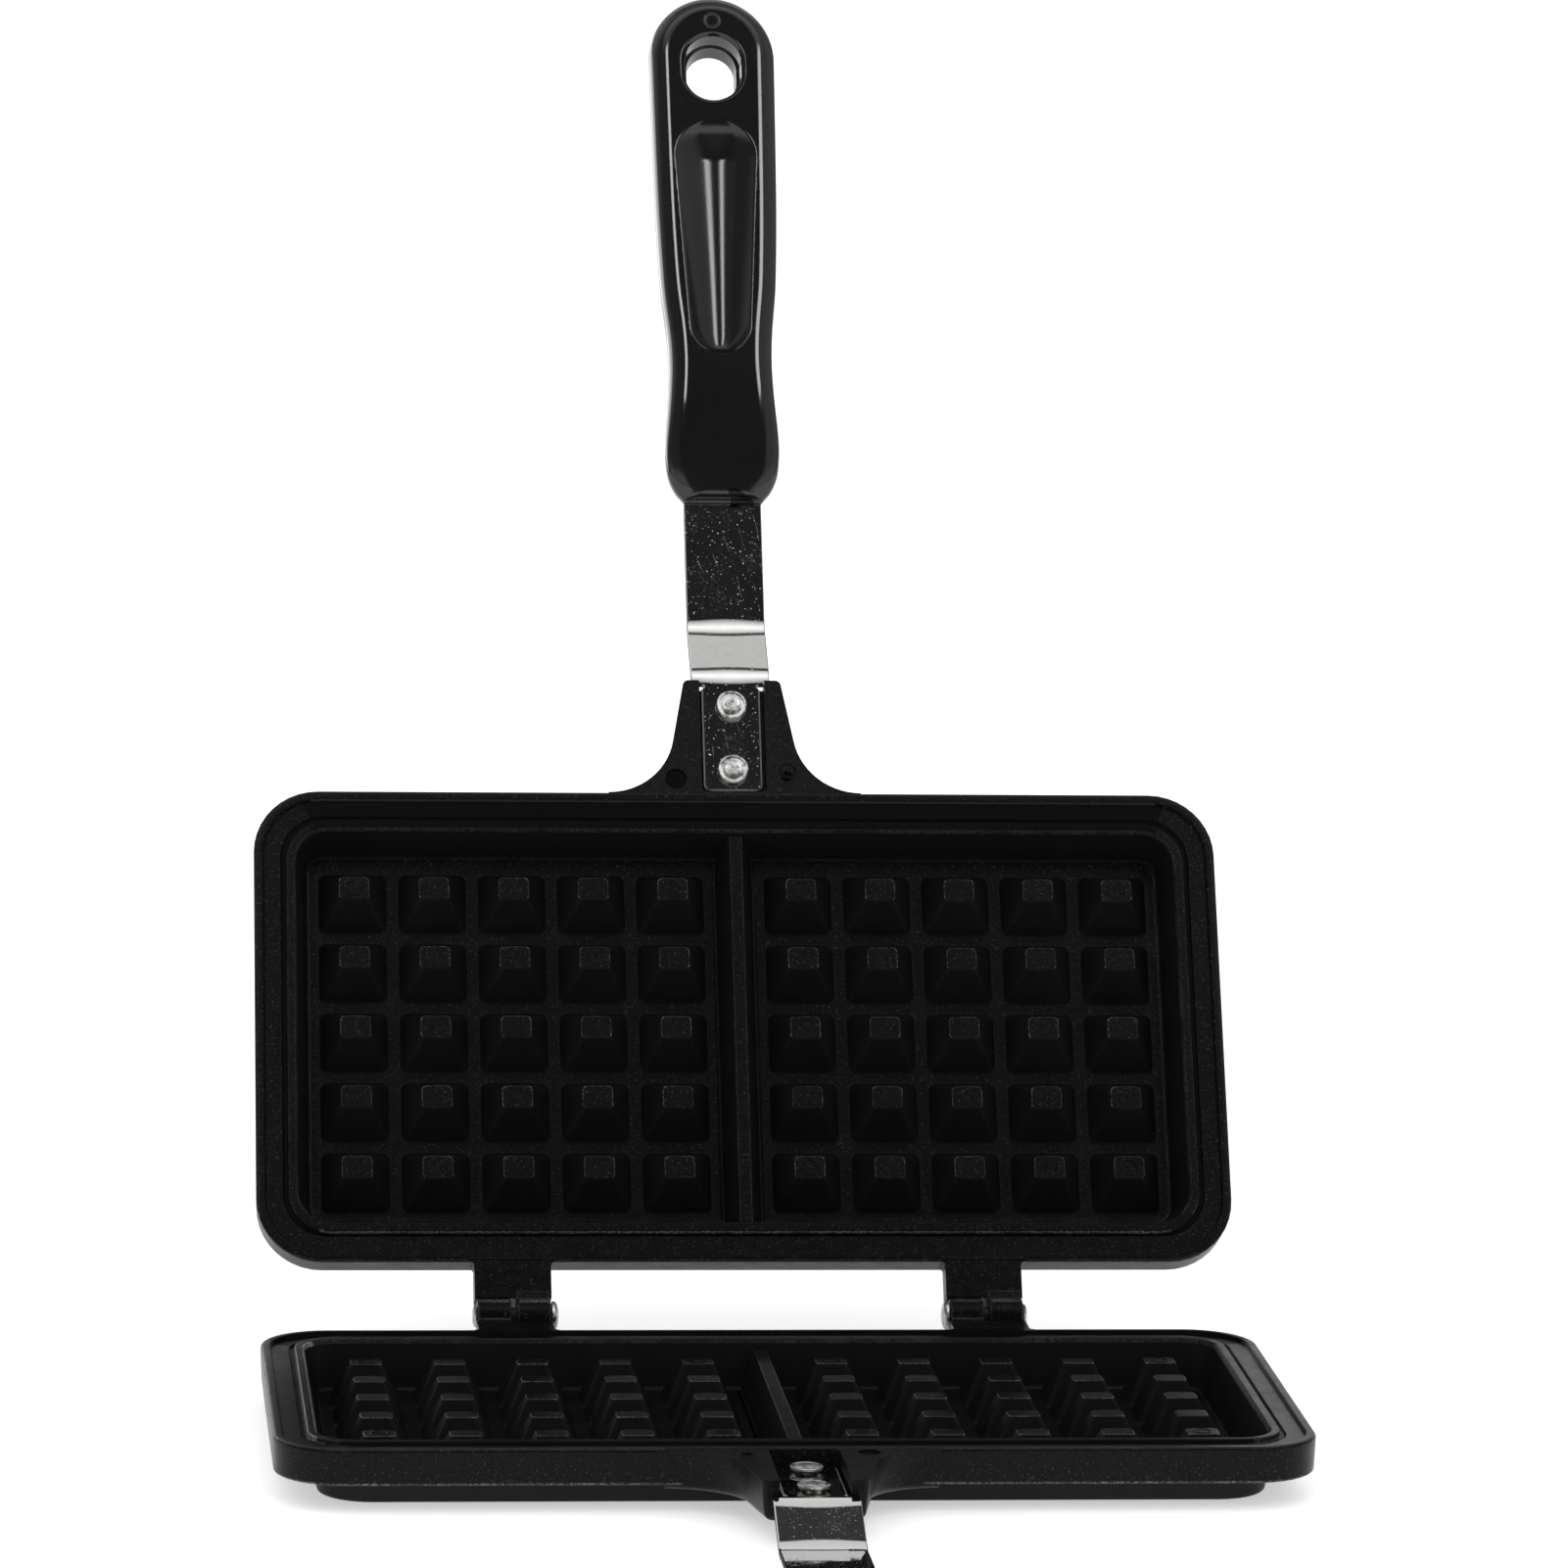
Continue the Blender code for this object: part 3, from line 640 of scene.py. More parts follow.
def arm_outline(side):
    inner = side * hinge_centre - arm_width / 2
    outer = side * hinge_centre + arm_width / 2
    tip = -hinge_reach + relief_reach
    flare = 0.0010
    outline = [(inner - flare, root_inset), (inner - flare, 0.0)]
    outline += arc((inner - flare, -flare), flare, quarter, 0, 6)[1:]
    outline += [(inner, tip), (outer, tip)]
    outline += arc((outer + flare, -flare), flare, math.pi, quarter, 6)[:-1]
    return outline + [(outer + flare, 0.0), (outer + flare, root_inset)]


def heel_profile():
    neck = -relief_reach - overlap
    stop = relief_reach - meeting_gap
    away = Vector((-math.cos(open_angle), math.sin(open_angle)))
    down = Vector((math.sin(open_angle), math.cos(open_angle)))
    near = away * stop + down * heel_near
    far = away * stop + down * heel_far
    points = [(neck, lug_top), (neck, -arm_thickness), (-relief_reach, -arm_thickness),
              (0.0, -knuckle_radius), (far.x - heel_chamfer, -knuckle_radius),
              (far.x, far.y - heel_chamfer), (far.x, far.y), (near.x, near.y)]
    points += arc((0.0, 0.0), knuckle_radius, math.radians(60.0), math.pi, 18)
    return [(-y - hinge_reach, height) for y, height in points]


def foot_profile():
    root = base_inset_rear + foot_overlap
    rear = -hinge_reach + relief_reach + foot_setback
    high = -arm_thickness + overlap
    points = [(root, high), (root, -half_thickness)]
    points += arc((rear + foot_round, -half_thickness + foot_round), foot_round, -quarter, -math.pi, 6)
    return points + [(rear, high)]


def add_hinges(piece):
    for side in (-1, 1):
        piece.body.from_mesh(worked(prism_mesh(arm_outline(side), -arm_thickness, lug_top), edge=0.0003))
        left, right = side * hinge_centre - foot_half_width, side * hinge_centre + foot_half_width
        piece.body.from_mesh(worked(bar_mesh(foot_profile(), left, right), edge=0.0005))
    for left, right in knuckle_ranges:
        # The knuckles' broken edges get the faint painted highlight
        piece.body.from_mesh(worked(bar_mesh(heel_profile(), left, right), edge=0.0005, edge_finish=dim_highlight))


print("knuckles from", [tuple(round(n, 4) for n in ends) for ends in knuckle_ranges])


# %% [markdown]
# The mould leaves small round marks where ejector pins pushed the casting out: thin raised rings on
# a lug ear, on one arm and on some studs. Each is a low ring sunk halfway into its face.

# %% Ejector marks
def add_mark(piece, x, v, height, radius, wire=0.00020):
    around = 36
    rings = []
    for i in range(around):
        a = 2 * math.pi * i / around
        out = Vector((math.cos(a), math.sin(a), 0.0))
        centre = spot(x, v, height) + out * radius
        rings.append([centre + out * wire * math.cos(b) + Vector((0, 0, wire * 0.8 * math.sin(b)))
                      for b in (2 * math.pi * k / 8 for k in range(8))])
    loops = [piece.ring(points) for points in rings]
    for a, b in zip(loops, loops[1:] + loops[:1]):
        piece.band(a, b)


def add_marks(piece):
    add_mark(piece, -0.0129, plate_depth + 0.0056, lug_top, 0.0018, 0.00030)
    add_mark(piece, 0.0559, -0.0041, lug_top, 0.0022)
    for column, row in ((4, 0), (4, 4), (0, 0), (0, 4)):
        for side in (-1, 1):
            add_mark(piece, side * stud_columns[column], stud_rows[row], stud_top, 0.0019)


print("marks on the casting: 10")


# %% [markdown]
# ## A coat for every face
#
# Painted light depends on the place: stud tops and lips carry painted highlights along some of
# their edges and not along others, and differently on the two halves. So we walk over all faces of
# tray, divider and lug, and choose by place and slope.

# %% Coats by place
edge_zone = 0.0120
near = 0.0006


def coat_at(face, coat, upper):
    """The coat of one face, from the coat of its band and from its place and slope."""
    middle, normal = face.calc_center_median(), face.normal
    v, height, tilt = -middle.y - hinge_reach, middle.z, abs(normal.z)
    side, front = plate_width / 2 - abs(middle.x), plate_depth - v
    behind, before = v < edge_zone, front < edge_zone
    steep_front = before and tilt < 0.6
    in_cavity = min(side, v, front) > lip_inner + 0.0010
    on_top = height > stud_top - 0.0005
    # Stud-top edges carry a painted highlight; those turned towards the hinge carry none on the upper half
    # and a bright one on the lower
    if coat == even_lit and on_top and 0.55 < tilt < 0.97:
        if math.copysign(normal.y, normal.y * normal.z) <= 0.3:
            return highlight
        return even_lit if upper else bright_highlight
    # Lip and rim edges get painted highlights, painted shade or the paler painted-light coat by side and
    # half
    if coat == dim_highlight and height > -0.0015 and v > 0.0020:
        outer_edge = abs(min(side, v + lip_extra * behind, front) - lip_inset) < near
        if behind and upper:
            return highlight if outer_edge else even_lit
        if behind:
            return shaded if outer_edge else dim_highlight
        if before:
            return even_lit if outer_edge else dim_highlight
        return bright_highlight if not upper and middle.x < 0 else dim_highlight
    if coat == dim_highlight:
        return even_lit if upper and height < cavity_floor + 0.0020 and front < 0.0180 else dim_highlight
    if coat == shaded:
        return even_lit if before and not upper or steep_front and abs(front - lip_inset) < near else shaded
    if coat != flecked:
        return coat
    if in_cavity and 0.05 < tilt < 0.97:
        return dim_highlight if tilt > 0.55 and on_top else even_lit
    # The bead's step wall, which faces down, gets the paler coat: painted light
    if steep_front and abs(front - bead_width) < near:
        return pale_lit
    if steep_front and abs(front - lip_inset) < near:
        return even_lit
    # The channel at the front gets painted shade on the upper half and the paler painted-light coat on the
    # lower
    if side > edge_zone and bead_width < front < 0.0098:
        return shaded if upper else even_lit
    # The lug marks' shallow pockets get the darkest coat: painted shade
    if front < 0.0012:
        in_mark = any(math.dist((middle.x, v), mark[:2]) < mark[2] for mark in lug_marks)
        return shaded if in_mark and height < lug_top - 0.0001 else outer
    # On the lower half the front bead's edge gets a faint painted highlight and the far rim painted shade
    if upper:
        return flecked
    if 0.0001 < front < bead_width:
        return dim_highlight
    return shaded if behind else flecked if not in_cavity and middle.x < 0 else outer


def choose_coats(piece, half):
    piece.body.normal_update()
    for face in piece.body.faces:
        face.material_index = coat_at(face, face.material_index, half == "upper")


print("coats are chosen among", len(coats))


# %% [markdown]
# Everything is ready for the two castings. The knuckles carry a painted highlight on their crowns
# where they face up in the open iron, which differs between the halves. So their faces are chosen
# last, by the way they face once their half is in its place.

# %% Castings
def casting(half):
    piece = Piece()
    cast_tray(piece)
    add_divider(piece)
    add_lug(piece)
    choose_coats(piece, half)
    add_hinges(piece)
    add_marks(piece)
    # Painted highlight on knuckle faces that point up once in place, and on a lower band of the upper half's
    # knuckles
    for face in piece.body.faces:
        across = Vector((face.calc_center_median().y, face.calc_center_median().z))
        if across.length < knuckle_radius + 0.0001 and abs(face.normal.x) < 0.1:
            facing = half_frames[half].to_3x3() @ face.normal
            if facing.z > 0.90 or (half == "upper" and -0.35 < facing.z < -0.05 and facing.y < 0):
                face.material_index = highlight
    piece.finish(half + "_casting", half, "coated_casting", [half + "_plate"], coats)


for half in half_frames:
    casting(half)

# %% [markdown]
# ## Steel
#
# The straps are polished sheet steel: nearly a mirror, but used. Fine scratches run along them at a
# slant, and small specks and rubbed spots are duller, so they pick up light from all around and
# show pale on a dark reflection. Cut edges are rougher, and their pale tone is a painted highlight.
# Rivets and pins have blotchy, hammered heads. The straps' cut sides and the pins' shanks are near
# black; on the shanks, between the knuckles, that is painted shade.

# %% Steel finishes
def polished_steel():
    made, tree, surface = new_finish("polished_steel")
    place = place_in_metres(tree)
    fine = noise(tree, place, 500.0, 4.0, 0.6)
    specks = span(tree, noise(tree, place, 2000.0, 1.0), 0.675, 0.76, 0.0, 0.85)
    patches = span(tree, noise(tree, place, 120.0, 3.0), 0.45, 0.66, 0.0, 1.0)
    haze = span(tree, noise(tree, place, 1400.0, 3.0, 0.7), 0.50, 0.68, 0.0, 0.50)
    bent = node(tree, "ShaderNodeMapping", {"Vector": place, "Rotation": (0.4, 0.3, 0.3)}).outputs[0]
    line = node(tree, "ShaderNodeTexWave", {"Vector": bent, "Scale": 90.0, "Distortion": 5.0, "Detail": 1.0,
                                            "Detail Scale": 0.5}).outputs["Fac"]
    thin = span(tree, line, 0.9993, 1.0, 0.0, 0.6)
    broken = span(tree, noise(tree, place, 130.0, 1.0), 0.56, 0.62, 0.0, 1.0)
    marks = calc(tree, "MAXIMUM", calc(tree, "MULTIPLY", haze, patches), specks)
    marks = calc(tree, "MAXIMUM", marks, calc(tree, "MULTIPLY", thin, broken))
    fill_inputs(tree, surface, {
        "Base Color": shade_between(tree, fine, (0.56, 0.56, 0.55), (0.66, 0.66, 0.65)), "Metallic": 1.0,
        "Roughness": span(tree, marks, 0.0, 1.0, 0.035, 0.42), "Normal": bumped(tree, fine, 0.12, 0.00003)})
    return made


def cut_edge_highlight_steel():
    made, tree, surface = new_finish("cut_edge_highlight_steel")
    # Its pale diffuse tone is a painted highlight along the cut chamfer; the roughness is the cut's own
    grain = noise(tree, place_in_metres(tree), 1800.0, 3.0, 0.6)
    fill_inputs(tree, surface, {
        "Base Color": shade_between(tree, grain, (0.40, 0.40, 0.39), (0.66, 0.66, 0.65)), "Metallic": 0.3,
        "Roughness": span(tree, grain, 0.3, 0.7, 0.50, 0.66)})
    return made


def hammered_steel():
    made, tree, surface = new_finish("hammered_steel")
    blotch = noise(tree, place_in_metres(tree), 620.0, 3.0, 0.55)
    spots = span(tree, blotch, 0.36, 0.56, 0.0, 1.0)
    fill_inputs(tree, surface, {
        "Base Color": shade_between(tree, spots, (0.17, 0.17, 0.165), (0.50, 0.50, 0.49)), "Metallic": 1.0,
        "Roughness": span(tree, blotch, 0.3, 0.7, 0.24, 0.44), "Normal": bumped(tree, blotch, 0.6, 0.0002)})
    return made


def near_black_steel():
    made, tree, surface = new_finish("near_black_steel")
    # A near-black tone; on the pins' shanks between the knuckles it is painted shade
    mottle = noise(tree, place_in_metres(tree), 500.0, 3.0)
    fill_inputs(tree, surface, {
        "Base Color": shade_between(tree, mottle, (0.006, 0.006, 0.006), (0.020, 0.019, 0.018)),
        "Roughness": span(tree, mottle, 0.3, 0.7, 0.5, 0.8), "Specular IOR Level": 0.2})
    return made


steel, cut_edge_highlight, hammered, near_black = polished_steel(), cut_edge_highlight_steel(), hammered_steel(), near_black_steel()
print("steels:", [made.name for made in (steel, cut_edge_highlight, hammered, near_black)])

# %% [markdown]
# ## Handle straps
#
# A strap is one strip of sheet, so we draw it flat, as a half width along its length, and then bend
# it. The bending line is two arcs with straights between. Close to a bend real sheet curls up a
# little at its edges, and that makes the bright bands bow, so a small saddle is added there.

# %% Strap line
strap_start = 0.0018
bend_start = lug_length - 2 * meeting_gap
bend_angle = math.radians(25.0)
bend_radius = 0.0150
strap_joggle = 0.0070
strap_tail = 0.1180
strap_half = 0.0095
sunk = 2 * bend_radius * (1 - math.cos(bend_angle))
slant = (strap_joggle - sunk) / math.sin(bend_angle)
bend_arc = bend_radius * bend_angle
stations = {"first bend": bend_start - strap_start}
stations["slant"] = stations["first bend"] + bend_arc
stations["second bend"] = stations["slant"] + slant
stations["tail"] = stations["second bend"] + bend_arc
tail_v = bend_start + 2 * bend_radius * math.sin(bend_angle) + slant * math.cos(bend_angle)
strap_reach = stations["tail"] + strap_tail - tail_v
print({name: round(1000 * s, 2) for name, s in stations.items()}, "mm along the strap")


def on_strap(along, across, sink):
    """A point of the bent strap: distance along it, across it, and depth below its top face."""
    if along <= stations["first bend"]:
        turn, v, height = 0.0, strap_start + along, strap_top
    elif along <= stations["slant"]:
        turn = (along - stations["first bend"]) / bend_radius
        v = bend_start + bend_radius * math.sin(turn)
        height = strap_top - bend_radius * (1 - math.cos(turn))
    elif along <= stations["second bend"]:
        turn = bend_angle
        run = along - stations["slant"]
        v = bend_start + bend_radius * math.sin(turn) + run * math.cos(turn)
        height = strap_top - bend_radius * (1 - math.cos(turn)) - run * math.sin(turn)
    elif along <= stations["tail"]:
        turn = (stations["tail"] - along) / bend_radius
        v = tail_v - bend_radius * math.sin(turn)
        height = strap_top - strap_joggle + bend_radius * (1 - math.cos(turn))
    else:
        turn, v, height = 0.0, tail_v + along - stations["tail"], strap_top - strap_joggle
    curl = 0.0
    for middle, sign in (((stations["first bend"] + stations["slant"]) / 2, 1),
                         ((stations["second bend"] + stations["tail"]) / 2, -1)):
        curl += sign * math.exp(-((along - middle) / 0.0035) ** 2)
    height += 0.00022 * curl * (across / strap_half) ** 2
    y = -(plate_depth + v + hinge_reach) + sink * math.sin(turn)
    return Vector((across, y, height - sink * math.cos(turn)))


# %% [markdown]
# The flat pattern is a narrow tongue with round corners, two small notches where it widens, and the
# long tail. Rings of twenty-two points follow it, with a small chamfer all round. The top of the
# strap stays polished, while the cut sides are near black and the tongue's chamfer carries a pale
# painted highlight.

# %% Strap piece
tongue_half = 0.00705
tongue_corner = 0.0015
tongue_chamfer = 0.00038
tail_chamfer = 0.00022
notch_half = 0.0006
notch_depth = 0.0005
shoulder_corner = 0.0004
row_step = 0.0004
shoulder = lug_length + meeting_gap - strap_start


def strap_widths():
    """(distance along, half width) of the flat pattern, from the tongue's round end to the tail."""
    rows = [(0.0, tongue_half - tongue_corner), (0.00022, tongue_half - 0.00072),
            (0.00045, tongue_half - 0.00043)]
    rows += [(tongue_corner - tongue_corner * math.cos(a), tongue_half - tongue_corner * (1 - math.sin(a)))
             for a in (quarter * (0.55 + 0.09 * i) for i in range(6))]
    rows += [(0.001 * n, tongue_half) for n in range(3, 26, 2)]
    notch = shoulder - notch_half
    rows += [(notch - notch_half * math.cos(a), tongue_half - notch_depth * math.sin(a))
             for a in (math.pi * i / 8 for i in range(9))]
    rows += [(shoulder + 0.00001, strap_half - shoulder_corner)]
    rows += [(shoulder + shoulder_corner * math.sin(a), strap_half - shoulder_corner * math.cos(a) ** 2)
             for a in (quarter * i / 3 for i in range(1, 4))]
    start = shoulder + 0.0005
    while start < stations["tail"] + 0.004:
        rows.append((start, strap_half))
        start += row_step
    rows += [(start + (strap_reach - start) * i / 12, strap_half) for i in range(13)]
    return rows


def strap(half):
    piece = Piece()
    rings = []
    for along, wide in strap_widths():
        chamfer = tongue_chamfer if along < shoulder else tail_chamfer
        end = max(0.0, chamfer - 1.3 * along)
        flat = wide - 2 * chamfer
        top = [(-wide, chamfer), (-wide + chamfer, end)]
        top += [(flat * (i / 3 - 1), end) for i in range(7)]
        top += [(wide - chamfer, end), (wide, chamfer)]
        under = [(x, strap_thickness - sink) for x, sink in reversed(top)]
        rings.append([on_strap(along, x, sink) for x, sink in top + under])
    loops = piece.loft(rings)
    tongue_edge = set(loops[0]) | set(loops[1])
    sides = set()
    for loop, (along, _) in zip(loops, strap_widths()):
        sides.update(loop[i] for i in (0, 10, 11, 21))
        if along <= shoulder:
            tongue_edge.update(loop[i] for i in (0, 1, 9, 10, 11, 12, 20, 21))
    # The tongue's chamfer gets the cut-edge finish with its painted highlight, and the cut sides the
    # near-black finish
    for face in piece.body.faces:
        if all(v in tongue_edge for v in face.verts) or len(face.verts) > 4:
            face.material_index = 1
        if all(v in sides for v in face.verts):
            face.material_index = 2
    piece.finish(half + "_handle_strap", half, "polished_steel", [half + "_strap"],
                 [steel, cut_edge_highlight, near_black], sharp=30.0)


for half in half_frames:
    strap(half)

# %% [markdown]
# ## Rivets, pins and screws
#
# Each is a turned piece: a side profile spun around an axis. A rivet's head stands on a short neck
# and flares to a flat dome, as the photograph shows from the side.

# %% Turned pieces
turned_steps = 40


def turn_piece(piece, profile, centre, axis, dark_below=0.0):
    """Spin a profile; a shank up to the given radius takes the second finish."""
    turn = axis.to_track_quat("Z", "Y").to_matrix()
    angles = [2 * math.pi * i / turned_steps for i in range(turned_steps)]
    loops = piece.loft([[centre + turn @ Vector((radius * math.cos(a), radius * math.sin(a), along))
                         for a in angles] for along, radius in profile])
    for (_, low), (_, high), loop, after in zip(profile, profile[1:], loops, loops[1:]):
        if max(low, high) <= dark_below and low == high:
            both = set(loop) | set(after)
            for face in {f for v in loop for f in v.link_faces if set(f.verts) <= both}:
                face.material_index = 1


def handle_point(along):
    return spot(0.0, plate_depth + along, 0.0)


def domed(start, radius, height, steps=8):
    """From the widest ring over a flat dome to the middle."""
    return [(start + height * math.sin(quarter * i / steps), radius * math.cos(quarter * i / steps))
            for i in range(steps)] + [(start + height, radius * 0.04)]


def rivet(half, row, along):
    piece = Piece()
    head = strap_top + 0.00005
    tail = -lug_thickness - meeting_gap
    profile = [(tail - 0.0009, 0.0008), (tail - 0.00085, 0.0018), (tail - 0.0005, 0.0028), (tail, 0.0031),
               (tail, 0.0020), (head - 0.0002, 0.0020), (head - 0.0002, 0.0027), (head + 0.0002, 0.0027),
               (head + 0.0007, 0.00350), (head + 0.0009, 0.00368), (head + 0.0011, 0.00370),
               (head + 0.00128, 0.0036), (head + 0.00136, 0.0034), (head + 0.00134, 0.0031),
               (head + 0.00120, 0.00285), (head + 0.00124, 0.0026), (head + 0.00140, 0.0022),
               (head + 0.00148, 0.0015), (head + 0.00150, 0.0008), (head + 0.00150, 0.0001)]
    turn_piece(piece, profile, handle_point(along), Vector((0, 0, 1)))
    name = f"{half}_rivet_{row}"
    piece.finish(name + "_head", half, "polished_steel", [name], [hammered])


for half in half_frames:
    rivet(half, "rear", 0.0069)
    rivet(half, "front", 0.0235)

# %% [markdown]
# Each hinge has its own pin, turned with the same tool along the hinge line. Its bright head is on
# the inner side, and between the knuckles its shank is near black: painted shade.

# %% Hinge pins
pin_radius = 0.0020
pin_head_radius = 0.0034


def hinge_pin(name, side):
    piece = Piece()
    outer, inner = knuckle_outer + meeting_gap, knuckle_inner - meeting_gap
    profile = [(-outer - 0.0008, 0.0006), (-outer - 0.0007, 0.0018), (-outer - 0.0004, 0.0025),
               (-outer, 0.0027), (-outer, pin_radius), (-inner, pin_radius), (-inner, pin_head_radius),
               (-inner + 0.0005, pin_head_radius)]
    profile += domed(-inner + 0.0006, 0.0033, 0.0010)[1:]
    turn_piece(piece, profile, Vector((0, 0, 0)), Vector((-side, 0, 0)), dark_below=pin_radius)
    piece.finish(name + "_head", "lower", "polished_steel", [name], [hammered, near_black])


hinge_pin("hinge_pin_left", -1)
hinge_pin("hinge_pin_right", 1)

# %% [markdown]
# ## Moulded grips
#
# The grip is glossy black moulded plastic: a flat face with a crisp edge, a rounded flank, a thumb
# trough, a hanging hole with a parting line inside, and a small ejector ring. The trough is worn to
# a satin sheen, so lamps draw soft grainy lines in it.

# %% Grip finishes
def gloss_plastic():
    made, tree, surface = new_finish("black_moulded_plastic")
    place = place_in_metres(tree)
    cloud = noise(tree, place, 60.0, 2.0)
    scuff = span(tree, noise(tree, place, 420.0, 4.0, 0.65), 0.50, 0.80, 0.09, 0.15)
    grain = noise(tree, place, 900.0, 2.0)
    fill_inputs(tree, surface, {
        "Base Color": shade_between(tree, cloud, (0.0062, 0.0062, 0.0065), (0.0088, 0.0088, 0.0092)),
        "Roughness": scuff, "Normal": bumped(tree, grain, 0.20, 0.00002, 0.0002)})
    return made


def satin_plastic():
    made, tree, surface = new_finish("satin_moulded_plastic")
    place = place_in_metres(tree)
    cloud = noise(tree, place, 60.0, 2.0)
    grain = noise(tree, place, 2400.0, 2.0)
    fill_inputs(tree, surface, {
        "Base Color": shade_between(tree, cloud, (0.0050, 0.0050, 0.0053), (0.0070, 0.0070, 0.0074)),
        "Roughness": span(tree, grain, 0.3, 0.7, 0.12, 0.18), "Normal": bumped(tree, grain, 0.35, 0.00003)})
    return made


plastic, satin = gloss_plastic(), satin_plastic()
print("plastics:", plastic.name, satin.name)

# %% [markdown]
# Seen from above, the grip is slim at the nose, narrow behind it, and widens to a round end. Its
# half width was read at nineteen places, and a smooth curve through them is the outline. The face
# is one flat area with two openings, so the light lines along its edges stay clean.

# %% Grip outline
grip_start = 0.0794
grip_length = 0.1351
grip_half_width = 0.0157
grip_face = -0.0015
grip_thickness = 0.0127
grip_end = grip_start + grip_length
width_shares = (
    (0.000, 0.610), (0.008, 0.668), (0.018, 0.743), (0.037, 0.828), (0.057, 0.874), (0.095, 0.898),
    (0.134, 0.883), (0.172, 0.855), (0.211, 0.831), (0.250, 0.818), (0.290, 0.823), (0.328, 0.843),
    (0.367, 0.877), (0.406, 0.909), (0.445, 0.928), (0.523, 0.954), (0.602, 0.971), (0.760, 0.990),
    (0.875, 1.000))


def curve_through(points, steps):
    """A smooth line through the points, with a few more between each two."""
    line = []
    for i in range(len(points) - 1):
        p0, p3 = Vector(points[max(i - 1, 0)]), Vector(points[min(i + 2, len(points) - 1)])
        p1, p2 = Vector(points[i]), Vector(points[i + 1])
        first = (p2 - p0) / max((p2 - p0).length, 1e-9) * (p2 - p1).length
        second = (p3 - p1) / max((p3 - p1).length, 1e-9) * (p2 - p1).length
        for k in range(steps):
            t = k / steps
            line.append((2 * t ** 3 - 3 * t ** 2 + 1) * p1 + (t ** 3 - 2 * t ** 2 + t) * first
                        + (-2 * t ** 3 + 3 * t ** 2) * p2 + (t ** 3 - t ** 2) * second)
    return line + [Vector(points[-1])]


def grip_outline():
    sides = curve_through([(a * grip_length, h * grip_half_width) for a, h in width_shares], 3)
    sides = [tuple(p) for p in sides]
    last = sides[-1][0]
    end = grip_length - 0.0001 - last
    sides += [(last + end * math.sin(quarter * i / 22), grip_half_width * math.cos(quarter * i / 22))
              for i in range(1, 22)]
    right = [(half, along) for along, half in sides]
    front = [(right[0][0] * (1 - i / 5), 0.0) for i in range(1, 5)]
    left = [(-half, along) for half, along in reversed(right)]
    nose = [(-x, v) for x, v in reversed(front)] + [(0.0, 0.0)] + front[::-1]
    return right + [(0.0, last + end)] + left + nose


outline = grip_outline()
print("grip outline:", len(outline), "points")

# %% [markdown]
# The flank is a stack of outlines that move inwards as they rise to the face. Plain offsets would
# cross each other at the narrow nose, so there the outline is scaled instead. The face also falls
# off towards the nose, which two small functions add to any ring.

# %% Grip rings
nose_length = 0.0355
nose_drop = 0.0053
nose_corner = 0.12 * grip_length


def moved_in(points, inset, front_share):
    """Offset the outline: straight across at the nose, along its normal behind it."""
    moved = []
    count = len(points)
    front = inset * front_share
    for i, (x, v) in enumerate(points):
        if v < nose_corner:
            wide = width_at(v)
            narrow = wide - inset * (1 + 0.15 * (1 - v / nose_corner))
            moved.append((x * narrow / wide, front + v * (nose_corner - front) / nose_corner))
        else:
            before, after = Vector(points[i - 1]), Vector(points[(i + 1) % count])
            along = (after - before).normalized()
            moved.append((x - along.y * inset, v + along.x * inset))
    return moved


def width_at(v):
    for here, after in zip(outline, outline[1:]):
        if here[1] <= v < after[1]:
            return here[0] + (after[0] - here[0]) * (v - here[1]) / (after[1] - here[1])
    return outline[0][0]


def on_grip(points, height):
    """Height is measured from the face. Towards the nose everything sinks to the back."""
    placed = []
    for x, v in points:
        drop = nose_drop * max(0.0, 1 - v / nose_length) ** 2
        low = height * (1 - drop / grip_thickness) - drop
        placed.append(spot(x, plate_depth + grip_start + v, grip_face + low))
    return placed


# %% [markdown]
# The flank leaves the face at a shallow angle and steepens outwards. Marks in millimetres, inset
# and height, give its curve. The slow start at the face's edge is what catches a lamp as one long
# bright line.

# %% Flank profile
side_low = -0.0060
back_radius = 0.0052
flank_marks = ((4.85, 0.0), (4.6, -0.01), (4.3, -0.04), (3.9, -0.10), (3.5, -0.185), (3.0, -0.36),
               (2.4, -0.68), (1.7, -1.18), (1.05, -1.80), (0.60, -2.40), (0.28, -3.0), (0.08, -3.7),
               (0.0, -4.4))
flank = [(p.x / 1000, p.y / 1000) for p in curve_through(flank_marks, 2)] + [(0.0, side_low)]
flank += [(back_radius * (1 - math.cos(a)), side_low - (grip_thickness + side_low) * math.sin(a))
          for a in (quarter * i / 8 for i in range(1, 9))]
print("flank:", len(flank), "rings")

# %% [markdown]
# The thumb trough is a height field inside a tapered oval: rows across, each a shallow arc. It
# starts steeply at the narrow end and runs out on a ramp at the wide end.

# %% Trough
trough_low = plate_depth + grip_start + 0.0372
trough_high = plate_depth + grip_end - 0.0351
trough_small = 0.0070
trough_large = 0.0096
trough_depth = 0.0038
ramp_length = 0.0088

# The oval has a small round end at near, a large one at far, and straight sides that lean between them
near_centre, far_centre = trough_low + trough_small, trough_high - trough_large
lean = math.asin((trough_large - trough_small) / (far_centre - near_centre))
first_straight = near_centre - trough_small * math.sin(lean)
last_straight = far_centre - trough_large * math.sin(lean)


